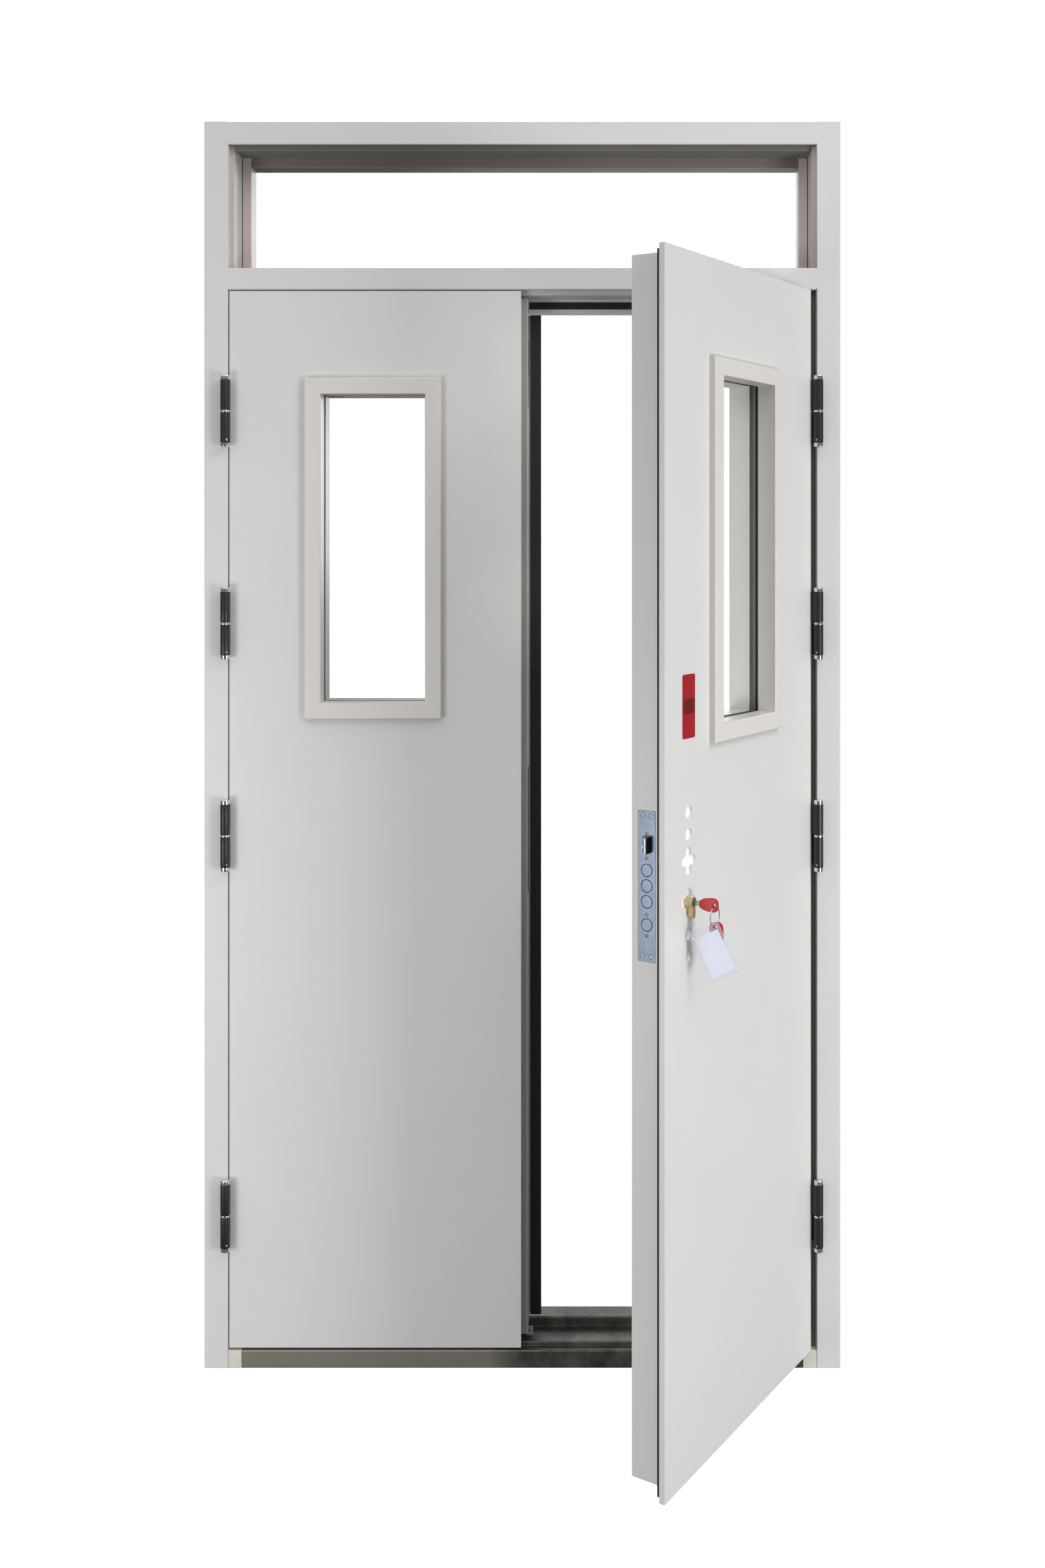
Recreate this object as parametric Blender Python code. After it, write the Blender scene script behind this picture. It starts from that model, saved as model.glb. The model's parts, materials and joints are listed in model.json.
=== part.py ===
"""Double fire door of folded steel sheet in a rebated steel frame with an open fanlight.

Metres, +Z up.  X runs to the right across the opening and Y runs from the pull face into the
wall.  The origin is the middle of the sill's front floor flange.  The left leaf stands shut and
the right leaf stands open on its hinges.
"""

import math

import bmesh
import bpy
from mathutils import Matrix, Vector

MM = 0.001

# Clearances
SEAT_GAP = 0.3 * MM
LEAF_GAP = 5.0 * MM
EDGE_GAP = 2.5 * MM
SEAL_GAP = 2.5 * MM
MEETING_GAP = 5.5 * MM

# Frame
FRAME_WIDTH = 1200 * MM
FRAME_HEIGHT = 2350 * MM
FRAME_DEPTH = 118 * MM
FRAME_SHEET = 1.5 * MM
FRAME_BEND = 2.0 * MM
WALL_FLANGE = 20 * MM
JAMB_FACE = 45 * MM
HEAD_FACE = 43 * MM
LIP_REBATE_DEPTH = 17 * MM
LIP_REBATE = 8 * MM
STOP_FRONT = 75 * MM
STOP = 18 * MM
RAIL_STOP = 24 * MM
FANLIGHT_HEIGHT = 232.5 * MM
RAIL_FACE = 41 * MM
RAIL_SEAM = 0.6 * MM

# Sill
SILL_FRONT = 34 * MM
SILL_STOP = 18 * MM
SILL_SHEET = 2.0 * MM
SILL_BEND = 3.0 * MM

# Stop seals
SEAL_WIDTH = 13 * MM

# Leaves
LEAF_THICKNESS = 70 * MM
LEAF_SKIN = 1.2 * MM
LIP_DEPTH = 10 * MM
LIP_TOP = 12 * MM
LIP_BOTTOM = 17 * MM
LIP_HINGE = 12 * MM
LIP_LOCK = 15.5 * MM
MEETING_LINE = -2.5 * MM
PASSIVE_STRIP = 11 * MM
PASSIVE_STRIP_FRONT = 17 * MM
REST_OPENING = math.radians(58.5)

# Hinges
HINGE_ABOVE_FOOT = 255 * MM
HINGE_BELOW_TOP = 228 * MM
HINGE_SPACING = 398 * MM
HINGE_LENGTH = 135 * MM
HINGE_CAP = 8 * MM
HINGE_RING = 4 * MM
BARREL_RADIUS = 9.0 * MM
BARREL_STAND = 14 * MM
AXIS_OUTBOARD = 1.5 * MM
PIN_RADIUS = 4.5 * MM
PIN_BORE = 5.2 * MM
WING = 1.6 * MM
KNUCKLE_GAP = 0.6 * MM
PIN_END_GAP = 2.0 * MM
HINGE_GROOVE = 0.4 * MM
HINGE_CHAMFER = 1.5 * MM
BARREL_SIDES = 24

# Vision panels
GLASS_WIDTH = 196 * MM
GLASS_HEIGHT = 580 * MM
GLASS_THICKNESS = 12 * MM
GLASS_EDGE = 10 * MM
WINDOW_FROM_HINGE = 272 * MM
WINDOW_BELOW_TOP = 485.2 * MM
BEAD_FACE = 30.5 * MM
BEAD_PROUD = 12 * MM
BEAD_SHEET = 1.5 * MM
BEAD_BEND = 2.2 * MM
GLAZING_SEAL = 5.0 * MM
GLAZING_SEAL_WIDTH = 7.0 * MM

# Meeting edges
ASTRAGAL_SHEET = 2.0 * MM
ASTRAGAL_BEND = 2.5 * MM
ASTRAGAL_FOOT = 24 * MM
ASTRAGAL_REACH = 23 * MM
ASTRAGAL_STEP = 7.7 * MM
ASTRAGAL_END = 6 * MM
MEETING_SEAL_WIDTH = 20.5 * MM
EDGE_STRIP = 4.5 * MM
EDGE_STRIP_WIDTH = 3.9 * MM
EDGE_STRIP_INSET = 2.0 * MM
EDGE_STRIP_END = 8.5 * MM

# Lock
LOCK_LINE = 42 * MM
LOCK_LOW = 887 * MM
LOCK_HIGH = 1128 * MM
FACEPLATE_WIDTH = 32 * MM
FACEPLATE = 3.0 * MM
BOLT_HEIGHTS = (945.5 * MM, 982.5 * MM, 1008 * MM, 1033 * MM)
BOLT_RADIUS = 10 * MM
BOLT_PROUD = 1.0 * MM
LATCH_HEIGHT = 1074 * MM
LATCH_TALL = 26 * MM
LATCH_THICK = 14 * MM
LATCH_THROW = 15 * MM
LATCH_TAIL = 30 * MM
LATCH_GAP = 0.5 * MM
STRIKE_WIDTH = 28 * MM
STRIKE_SHEET = 2.0 * MM
STRIKE_POCKET = 9 * MM
STRIKE_CLEARANCE = 3.0 * MM
FLUSH_BOLT_LENGTH = 190 * MM
FLUSH_BOLT_WIDTH = 20 * MM
FLUSH_BOLT_BELOW_TOP = 14 * MM

# Prepared holes and cylinder
BACKSET = 78 * MM
ROSE_HEIGHTS = (886.4 * MM, 923.6 * MM, 1084.6 * MM, 1121 * MM)
ROSE_RADIUS = 10.5 * MM
SPINDLE_HEIGHT = 1042 * MM
LOBE_MIDDLE = 12 * MM
LOBE_RADIUS = 8.5 * MM
LOBE_OFFSET = 13.5 * MM
LOBE_DROP = 15.5 * MM
LOBED_SIDES = 44
HOLE_DEPTH = 4.8 * MM
HOLE_SIDES = 20
CYLINDER_HEIGHT = 975 * MM
CYLINDER_RADIUS = 8.5 * MM
CYLINDER_TAIL_WIDTH = 10 * MM
CYLINDER_TAIL = 24.5 * MM
CYLINDER_PROUD = 10 * MM
CYLINDER_BACK_PROUD = 3 * MM
CYLINDER_GAP = 0.4 * MM
PLUG_RADIUS = 6.0 * MM
PLUG_LENGTH = 28 * MM
KEYWAY_WIDTH = 2.6 * MM
KEYWAY_TALL = 9.0 * MM
KEY_BLADE = 2.0 * MM
KEY_BLADE_TALL = 8.0 * MM
KEY_BLADE_DEPTH = 18 * MM
KEY_NECK = 10 * MM
KEY_BOW = 26 * MM
KEY_BOW_TAPER = 0.35
KEY_BOW_ROUND = 0.7
KEY_BOW_LENGTH = 34 * MM
KEY_BOW_THICK = 5 * MM
KEY_HOLE_RADIUS = 3.0 * MM
KEY_HOLE_FROM_END = 6 * MM
KEY_BLADE_LENGTH = 30 * MM
BOW_SIDES = 24
EYE_SIDES = 16
RING_RADIUS = 15.5 * MM
RING_WIRE = 0.9 * MM
RING_SEAT = 0.6 * MM
RING_SIDES = 32
WIRE_SIDES = 8
HANG_TURN = math.radians(15)
TAG_WIDTH = 55 * MM
TAG_LENGTH = 87 * MM
TAG_THICK = 1.6 * MM
TAG_NEAR = 2.2 * MM
TAG_CORNER = 5 * MM
TAG_CORNER_STEPS = 4
TAG_HOLE_RADIUS = 2.6 * MM
TAG_HOLE_SIDE = 9 * MM
TAG_HOLE_TOP = 7.6 * MM
TAG_LEAN = math.radians(26)
SPARE_NEAR = 0.2 * MM
SPARE_LEAN = math.radians(12)

# Places worked out from the sizes above
FRONT = -WALL_FLANGE / 2
JAMB_EDGE = FRAME_WIDTH / 2 - JAMB_FACE
REBATE_EDGE = JAMB_EDGE - LIP_REBATE
STOP_EDGE = REBATE_EDGE - STOP
RAIL_BOTTOM = FRAME_HEIGHT - HEAD_FACE - FANLIGHT_HEIGHT - RAIL_FACE
SILL_SECOND = SILL_FRONT + LIP_REBATE
SILL_TOP = SILL_SECOND + SILL_STOP
LEAF_EDGE = JAMB_EDGE - EDGE_GAP
BODY_EDGE = LEAF_EDGE - LIP_HINGE
LEAF_BOTTOM = SILL_FRONT + LEAF_GAP
LEAF_TOP = RAIL_BOTTOM - EDGE_GAP
BODY_BOTTOM = LEAF_BOTTOM + LIP_BOTTOM
BODY_TOP = LEAF_TOP - LIP_TOP
ACTIVE_LIP = MEETING_LINE + MEETING_GAP
ACTIVE_BODY = ACTIVE_LIP + LIP_LOCK
PASSIVE_BODY = MEETING_LINE + PASSIVE_STRIP
LEAF_BACK = FRONT + LEAF_THICKNESS
SEAL_FRONT = LEAF_BACK + SEAL_GAP
AXIS_X = JAMB_EDGE + AXIS_OUTBOARD
AXIS_Y = FRONT - BARREL_STAND
TOP_HINGE = LEAF_TOP - HINGE_BELOW_TOP
HINGE_HEIGHTS = (
    LEAF_BOTTOM + HINGE_ABOVE_FOOT,
    TOP_HINGE - 2 * HINGE_SPACING,
    TOP_HINGE - HINGE_SPACING,
    TOP_HINGE,
)
WINDOW_X = LEAF_EDGE - WINDOW_FROM_HINGE
WINDOW_CENTRE = LEAF_TOP - WINDOW_BELOW_TOP
GLASS_FRONT = FRONT + (LEAF_THICKNESS - GLASS_THICKNESS) / 2
LOCK_X = ACTIVE_LIP + BACKSET
LOCK_Y = FRONT + LOCK_LINE
KEY_HOLE_Y = FRONT - CYLINDER_PROUD - KEY_NECK - KEY_BOW_LENGTH + KEY_HOLE_FROM_END
RING_TOP = CYLINDER_HEIGHT - KEY_HOLE_RADIUS + RING_WIRE + RING_SEAT
RING_FOOT = RING_TOP - 2 * RING_RADIUS


def clear_scene():
    for old in list(bpy.data.objects):
        bpy.data.objects.remove(old, do_unlink=True)


def linear(channel):
    return channel / 12.92 if channel <= 0.04045 else ((channel + 0.055) / 1.055) ** 2.4


def finish(name, colour, metallic, roughness, alpha=1.0):
    """A Principled finish; colour is an sRGB hex string."""
    material = bpy.data.materials.new(name)
    material.use_nodes = True
    shader = material.node_tree.nodes["Principled BSDF"]
    rgb = [linear(int(colour[i : i + 2], 16) / 255) for i in (0, 2, 4)]
    shader.inputs["Base Color"].default_value = (*rgb, 1.0)
    shader.inputs["Metallic"].default_value = metallic
    shader.inputs["Roughness"].default_value = roughness
    shader.inputs["Alpha"].default_value = alpha
    material.diffuse_color = (*rgb, alpha)
    return material


def mesh_from(name, points, faces):
    """A closed mesh whose faces are turned outwards."""
    shape = bmesh.new()
    made = [shape.verts.new(point) for point in points]
    for face in faces:
        shape.faces.new([made[i] for i in face])
    bmesh.ops.recalc_face_normals(shape, faces=shape.faces[:])
    mesh = bpy.data.meshes.new(name)
    shape.to_mesh(mesh)
    shape.free()
    return mesh


def add(name, mesh, material, home=None, pivot=None):
    """Puts a mesh in the scene; one on a pivot turns about the pivot's home point."""
    thing = bpy.data.objects.new(name, mesh)
    bpy.context.scene.collection.objects.link(thing)
    if material:
        mesh.materials.append(material)
    if pivot:
        mesh.transform(Matrix.Translation(-home))
        thing.parent = pivot
    return thing


def cutter(thing):
    thing.hide_render = True
    thing.display_type = "WIRE"
    return thing


def carve(target, tool, operation="DIFFERENCE"):
    step = target.modifiers.new(tool.name, "BOOLEAN")
    step.operation = operation
    step.solver = "EXACT"
    step.object = tool


def smooth(thing, angle=35):
    thing.data.shade_smooth()
    thing.data.set_sharp_from_angle(angle=math.radians(angle))


def along_x(a, b, t):
    return Vector((t, a, b))


def along_y(a, b, t):
    return Vector((a, t, b))


def along_z(a, b, t):
    return Vector((a, b, t))


def prisms(name, outlines, place, start, end):
    """Outlines of (a, b) points that lie apart, each carried from start to end in one mesh."""
    points, faces = [], []
    for outline in outlines:
        first, count = len(points), len(outline)
        points += [place(a, b, t) for t in (start, end) for a, b in outline]
        caps = [list(range(count)), list(range(count, 2 * count))]
        sides = [[i, (i + 1) % count, count + (i + 1) % count, count + i] for i in range(count)]
        faces += [[first + i for i in face] for face in caps + sides]
    return mesh_from(name, points, faces)


def prism(name, outline, place, start, end):
    return prisms(name, [outline], place, start, end)


def rectangle(a0, a1, b0, b1):
    return [(a0, b0), (a1, b0), (a1, b1), (a0, b1)]


def block(name, x, y, z):
    return prism(name, rectangle(min(x), max(x), *y), along_z, *z)


def circle(centre_a, centre_b, radius, sides):
    return [
        (
            centre_a + radius * math.cos(2 * math.pi * i / sides),
            centre_b + radius * math.sin(2 * math.pi * i / sides),
        )
        for i in range(sides)
    ]


def bent_sheet(path, thickness, bend, steps=3):
    """Outline of sheet folded along its visible face, with the metal to the left of the path."""
    visible, hidden = [], []
    corners = [Vector(point) for point in path]
    for i, corner in enumerate(corners):
        before = (corner - corners[i - 1]).normalized() if i else None
        after = (corners[i + 1] - corner).normalized() if i + 1 < len(corners) else None
        if before is None or after is None:
            run = before or after
            visible.append(corner)
            hidden.append(corner + thickness * Vector((-run.y, run.x)))
            continue
        left_in = Vector((-before.y, before.x))
        left_out = Vector((-after.y, after.x))
        turns_left = before.x * after.y - before.y * after.x > 0
        towards = 1 if turns_left else -1
        near, far = (bend, bend - thickness) if turns_left else (bend - thickness, bend)
        spread = (left_in + left_out) / (1 + left_in.dot(left_out))
        centre = corner + towards * near * spread
        for step in range(steps + 1):
            share = step / steps
            lean = left_in.lerp(left_out, share).normalized()
            visible.append(centre - towards * near * lean)
            hidden.append(centre - towards * far * lean)
    return [tuple(point) for point in visible + hidden[::-1]]


def rectangular_ring(name, section, centre, width, height):
    """A section of (outward, y) points carried round a rectangle with mitred corners."""
    points = []
    for outward, y in section:
        half_x, half_z = width / 2 + outward, height / 2 + outward
        for side_x, side_z in ((-1, -1), (1, -1), (1, 1), (-1, 1)):
            points.append((centre[0] + side_x * half_x, y, centre[1] + side_z * half_z))
    faces = []
    count = len(section)
    for i in range(count):
        j = (i + 1) % count
        for corner in range(4):
            onward = (corner + 1) % 4
            faces.append([4 * i + corner, 4 * i + onward, 4 * j + onward, 4 * j + corner])
    return mesh_from(name, points, faces)


def turned(name, profile, centre, sides):
    """A profile of (radius, height) from foot to head turned about a vertical line."""
    points, rings = [], []
    for radius, height in profile:
        if radius == 0:
            rings.append([len(points)])
            points.append((centre[0], centre[1], height))
            continue
        rings.append([len(points) + i for i in range(sides)])
        points += [(x, y, height) for x, y in circle(centre[0], centre[1], radius, sides)]
    faces = []
    for lower, upper in zip(rings, rings[1:]):
        for i in range(sides):
            j = (i + 1) % sides
            if len(lower) == 1:
                faces.append([lower[0], upper[j], upper[i]])
            elif len(upper) == 1:
                faces.append([lower[i], lower[j], upper[0]])
            else:
                faces.append([lower[i], lower[j], upper[j], upper[i]])
    return mesh_from(name, points, faces)


def jamb_outline(hand):
    """Section of a jamb in x and y: wall flange, face, lip rebate, leaf rebate and stop."""
    steps = [
        (0, WALL_FLANGE),
        (0, 0),
        (JAMB_FACE, 0),
        (JAMB_FACE, LIP_REBATE_DEPTH),
        (JAMB_FACE + LIP_REBATE, LIP_REBATE_DEPTH),
        (JAMB_FACE + LIP_REBATE, STOP_FRONT),
        (JAMB_FACE + LIP_REBATE + STOP, STOP_FRONT),
        (JAMB_FACE + LIP_REBATE + STOP, FRAME_DEPTH),
        (0, FRAME_DEPTH),
        (0, FRAME_DEPTH - WALL_FLANGE),
    ]
    section = bent_sheet(steps, FRAME_SHEET, FRAME_BEND)
    return [(hand * (FRAME_WIDTH / 2 - inward), FRONT + back) for inward, back in section]


def head_outline(top, face):
    """Section of the head in y and z, open towards the wall above it."""
    low = top - face
    steps = [
        (WALL_FLANGE, top),
        (0, top),
        (0, low),
        (LIP_REBATE_DEPTH, low),
        (LIP_REBATE_DEPTH, low - LIP_REBATE),
        (STOP_FRONT, low - LIP_REBATE),
        (STOP_FRONT, low - LIP_REBATE - STOP),
        (FRAME_DEPTH, low - LIP_REBATE - STOP),
        (FRAME_DEPTH, top),
        (FRAME_DEPTH - WALL_FLANGE, top),
    ]
    return [(FRONT + back, z) for back, z in bent_sheet(steps, FRAME_SHEET, FRAME_BEND)]


def rail_outline():
    """Section of the transom rail in y and z, a folded tube with its seam at the back."""
    low = RAIL_BOTTOM
    top = low + RAIL_FACE
    seam = (top + low) / 2
    steps = [
        (FRAME_DEPTH, seam + RAIL_SEAM / 2),
        (FRAME_DEPTH, top),
        (0, top),
        (0, low),
        (LIP_REBATE_DEPTH, low),
        (LIP_REBATE_DEPTH, low - LIP_REBATE),
        (STOP_FRONT, low - LIP_REBATE),
        (STOP_FRONT, low - LIP_REBATE - RAIL_STOP),
        (FRAME_DEPTH, low - LIP_REBATE - RAIL_STOP),
        (FRAME_DEPTH, seam - RAIL_SEAM / 2),
    ]
    return [(FRONT + back, z) for back, z in bent_sheet(steps, FRAME_SHEET, FRAME_BEND)]


def sill_outline():
    """Section of the sill in y and z, standing on two floor flanges."""
    steps = [
        (FRAME_DEPTH - WALL_FLANGE, 0),
        (FRAME_DEPTH, 0),
        (FRAME_DEPTH, SILL_TOP),
        (STOP_FRONT, SILL_TOP),
        (STOP_FRONT, SILL_SECOND),
        (LIP_REBATE_DEPTH, SILL_SECOND),
        (LIP_REBATE_DEPTH, SILL_FRONT),
        (0, SILL_FRONT),
        (0, 0),
        (WALL_FLANGE, 0),
    ]
    return [(FRONT + back, z) for back, z in bent_sheet(steps, SILL_SHEET, SILL_BEND)]


def cope_outline(hand):
    """What a cross member gives up to seat against a jamb, in x and y."""
    reach = FRAME_WIDTH / 2 + WALL_FLANGE
    back = FRAME_DEPTH + WALL_FLANGE
    outline = [
        (reach, -WALL_FLANGE),
        (JAMB_EDGE - SEAT_GAP, -WALL_FLANGE),
        (JAMB_EDGE - SEAT_GAP, LIP_REBATE_DEPTH - SEAT_GAP),
        (REBATE_EDGE - SEAT_GAP, LIP_REBATE_DEPTH - SEAT_GAP),
        (REBATE_EDGE - SEAT_GAP, STOP_FRONT - SEAT_GAP),
        (STOP_EDGE - SEAT_GAP, STOP_FRONT - SEAT_GAP),
        (STOP_EDGE - SEAT_GAP, back),
        (reach, back),
    ]
    return [(hand * x, FRONT + y) for x, y in outline]


def build_frame(looks):
    for side, hand in (("left", -1), ("right", 1)):
        smooth(
            add(
                f"jamb_{side}",
                prism("jamb", jamb_outline(hand), along_z, 0, FRAME_HEIGHT),
                looks["frame"],
            )
        )
    copes = [
        cutter(
            add(
                f"cope_{side}",
                prism("cope", cope_outline(hand), along_z, HEAD_FACE, FRAME_HEIGHT + HEAD_FACE),
                None,
            )
        )
        for side, hand in (("left", -1), ("right", 1))
    ]
    members = (("head", head_outline(FRAME_HEIGHT, HEAD_FACE)), ("transom_rail", rail_outline()))
    for name, outline in members:
        member = add(name, prism(name, outline, along_x, -JAMB_EDGE, JAMB_EDGE), looks["frame"])
        smooth(member)
        for cope in copes:
            carve(member, cope)
    sill_half = STOP_EDGE - SEAT_GAP
    sill = add(
        "sill", prism("sill", sill_outline(), along_x, -sill_half, sill_half), looks["sill"]
    )
    smooth(sill)
    for side, hand in (("left", -1), ("right", 1)):
        build_sill_end(side, hand, looks)
        build_stop_seal(side, hand, looks)
    low = RAIL_BOTTOM - LIP_REBATE - (RAIL_STOP + SEAL_WIDTH) / 2
    seal_half = STOP_EDGE + (STOP - SEAL_WIDTH) / 2 - SEAT_GAP
    add(
        "stop_seal_head",
        block(
            "stop_seal_head",
            (-seal_half, seal_half),
            (SEAL_FRONT, FRONT + STOP_FRONT - SEAT_GAP),
            (low, low + SEAL_WIDTH),
        ),
        looks["seal"],
    )


def build_sill_end(side, hand, looks):
    """The painted block that closes a jamb's rebates below the leaf."""
    inner = STOP_EDGE + SEAT_GAP
    outline = [
        (inner, 0),
        (JAMB_EDGE - SEAT_GAP, 0),
        (JAMB_EDGE - SEAT_GAP, LIP_REBATE_DEPTH - SEAT_GAP),
        (REBATE_EDGE - SEAT_GAP, LIP_REBATE_DEPTH - SEAT_GAP),
        (REBATE_EDGE - SEAT_GAP, STOP_FRONT - SEAT_GAP),
        (inner, STOP_FRONT - SEAT_GAP),
    ]
    outline = [(hand * x, FRONT + y) for x, y in outline]
    name = f"sill_end_{side}"
    add(name, prism(name, outline, along_z, 0, SILL_FRONT), looks["frame"])


def build_stop_seal(side, hand, looks):
    near = STOP_EDGE + (STOP - SEAL_WIDTH) / 2
    name = f"stop_seal_{side}"
    add(
        name,
        block(
            name,
            (hand * near, hand * (near + SEAL_WIDTH)),
            (SEAL_FRONT, FRONT + STOP_FRONT - SEAT_GAP),
            (SILL_SECOND + SEAT_GAP, RAIL_BOTTOM - LIP_REBATE - SEAT_GAP),
        ),
        looks["seal"],
    )


def hinge_profile(foot, knuckle_head, ring, pin_head):
    """Lower half of a lift-off hinge: cap, knuckle, ring and standing pin."""
    cap = foot + HINGE_CAP
    return [
        (0, foot),
        (BARREL_RADIUS - 2 * HINGE_CHAMFER, foot),
        (BARREL_RADIUS - HINGE_GROOVE, foot + HINGE_CHAMFER),
        (BARREL_RADIUS - HINGE_GROOVE, cap - HINGE_GROOVE),
        (BARREL_RADIUS - 2 * HINGE_GROOVE, cap),
        (BARREL_RADIUS, cap + HINGE_GROOVE),
        (BARREL_RADIUS, knuckle_head - HINGE_GROOVE),
        (BARREL_RADIUS - 2 * HINGE_GROOVE, knuckle_head),
        (BARREL_RADIUS - HINGE_GROOVE, knuckle_head + HINGE_GROOVE),
        (BARREL_RADIUS - HINGE_GROOVE, knuckle_head + ring),
        (PIN_RADIUS, knuckle_head + ring),
        (PIN_RADIUS, pin_head - HINGE_CHAMFER),
        (PIN_RADIUS - HINGE_CHAMFER, pin_head),
        (0, pin_head),
    ]


def upper_profile(foot, bore_head, knuckle_head, head):
    """Upper half of a lift-off hinge: a bored knuckle with a closed cap."""
    return [
        (0, bore_head),
        (PIN_BORE, bore_head),
        (PIN_BORE, foot),
        (BARREL_RADIUS - HINGE_GROOVE, foot),
        (BARREL_RADIUS, foot + HINGE_GROOVE),
        (BARREL_RADIUS, knuckle_head - HINGE_GROOVE),
        (BARREL_RADIUS - 2 * HINGE_GROOVE, knuckle_head),
        (BARREL_RADIUS - HINGE_GROOVE, knuckle_head + HINGE_GROOVE),
        (BARREL_RADIUS - HINGE_GROOVE, head - HINGE_CHAMFER),
        (BARREL_RADIUS - 2 * HINGE_CHAMFER, head),
        (0, head),
    ]


def build_hinge(side, hand, number, height, pivot, home, looks):
    """A lift-off hinge: the lower half is fixed to the frame and the upper half to the leaf."""
    foot = height - HINGE_LENGTH / 2
    head = height + HINGE_LENGTH / 2
    knuckle = (HINGE_LENGTH - 2 * HINGE_CAP - HINGE_RING - KNUCKLE_GAP) / 2
    middle = foot + HINGE_CAP + knuckle
    upper_foot = middle + HINGE_RING + KNUCKLE_GAP
    bore_head = head - HINGE_CAP
    centre = (hand * AXIS_X, AXIS_Y)
    name = f"hinge_{side}_{number}"

    frame_half = add(
        f"{name}_frame",
        turned(
            name,
            hinge_profile(foot, middle, HINGE_RING, bore_head - PIN_END_GAP),
            centre,
            BARREL_SIDES,
        ),
        looks["hinge"],
    )
    frame_wing_x = JAMB_EDGE - SEAT_GAP
    wing = cutter(
        add(
            f"{name}_frame_wing",
            block(
                name,
                (hand * frame_wing_x, hand * (frame_wing_x - WING)),
                (AXIS_Y, FRONT + LIP_REBATE_DEPTH - FRAME_BEND),
                (foot + HINGE_CAP, middle),
            ),
            None,
        )
    )
    carve(frame_half, wing, "UNION")
    smooth(frame_half)

    leaf_half = add(
        f"{name}_leaf",
        turned(
            name, upper_profile(upper_foot, bore_head, head - HINGE_CAP, head), centre, BARREL_SIDES
        ),
        looks["hinge"],
        home,
        pivot,
    )
    leaf_wing_x = LEAF_EDGE + SEAT_GAP
    wing = cutter(
        add(
            f"{name}_leaf_wing",
            block(
                name,
                (hand * leaf_wing_x, hand * (leaf_wing_x + WING)),
                (AXIS_Y + (PIN_BORE + BARREL_RADIUS) / 2, FRONT + LIP_DEPTH),
                (upper_foot, bore_head),
            ),
            None,
            home,
            pivot,
        )
    )
    carve(leaf_half, wing, "UNION")
    smooth(leaf_half)


def window_cutter(name, hand, margin, home, pivot):
    half_x = GLASS_WIDTH / 2 + margin
    half_z = GLASS_HEIGHT / 2 + margin
    return cutter(
        add(
            name,
            block(
                name,
                (hand * WINDOW_X - half_x, hand * WINDOW_X + half_x),
                (FRONT - LEAF_THICKNESS, LEAF_BACK + LEAF_THICKNESS),
                (WINDOW_CENTRE - half_z, WINDOW_CENTRE + half_z),
            ),
            None,
            home,
            pivot,
        )
    )


def build_vision_panel(side, hand, looks, home, pivot):
    """Glass between a front and a back bead, with a black seal in front of the glass."""
    centre = (hand * WINDOW_X, WINDOW_CENTRE)
    seal_front = GLASS_FRONT - SEAT_GAP - GLAZING_SEAL
    front_leg = seal_front - SEAT_GAP
    glass_back = GLASS_FRONT + GLASS_THICKNESS
    mirror = 2 * FRONT + LEAF_THICKNESS
    back_leg = mirror - (glass_back + SEAT_GAP)
    for face, leg in (("front", front_leg), ("back", back_leg)):
        path = [
            (0, leg),
            (0, FRONT - BEAD_PROUD),
            (BEAD_FACE, FRONT - BEAD_PROUD),
            (BEAD_FACE, FRONT - SEAT_GAP),
        ]
        section = bent_sheet(path, BEAD_SHEET, BEAD_BEND)
        if face == "back":
            section = [(outward, mirror - y) for outward, y in section]
        name = f"{side}_bead_{face}"
        bead = add(
            name,
            rectangular_ring(name, section, centre, GLASS_WIDTH, GLASS_HEIGHT),
            looks["bead"],
            home,
            pivot,
        )
        smooth(bead)
    name = f"{side}_glazing_seal"
    section = rectangle(0, GLAZING_SEAL_WIDTH, seal_front, seal_front + GLAZING_SEAL)
    add(
        name,
        rectangular_ring(name, section, centre, GLASS_WIDTH, GLASS_HEIGHT),
        looks["seal"],
        home,
        pivot,
    )
    half_x = GLASS_WIDTH / 2 + GLASS_EDGE
    half_z = GLASS_HEIGHT / 2 + GLASS_EDGE
    add(
        f"{side}_glass",
        block(
            "glass",
            (centre[0] - half_x, centre[0] + half_x),
            (GLASS_FRONT, glass_back),
            (WINDOW_CENTRE - half_z, WINDOW_CENTRE + half_z),
        ),
        looks["glass"],
        home,
        pivot,
    )


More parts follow.
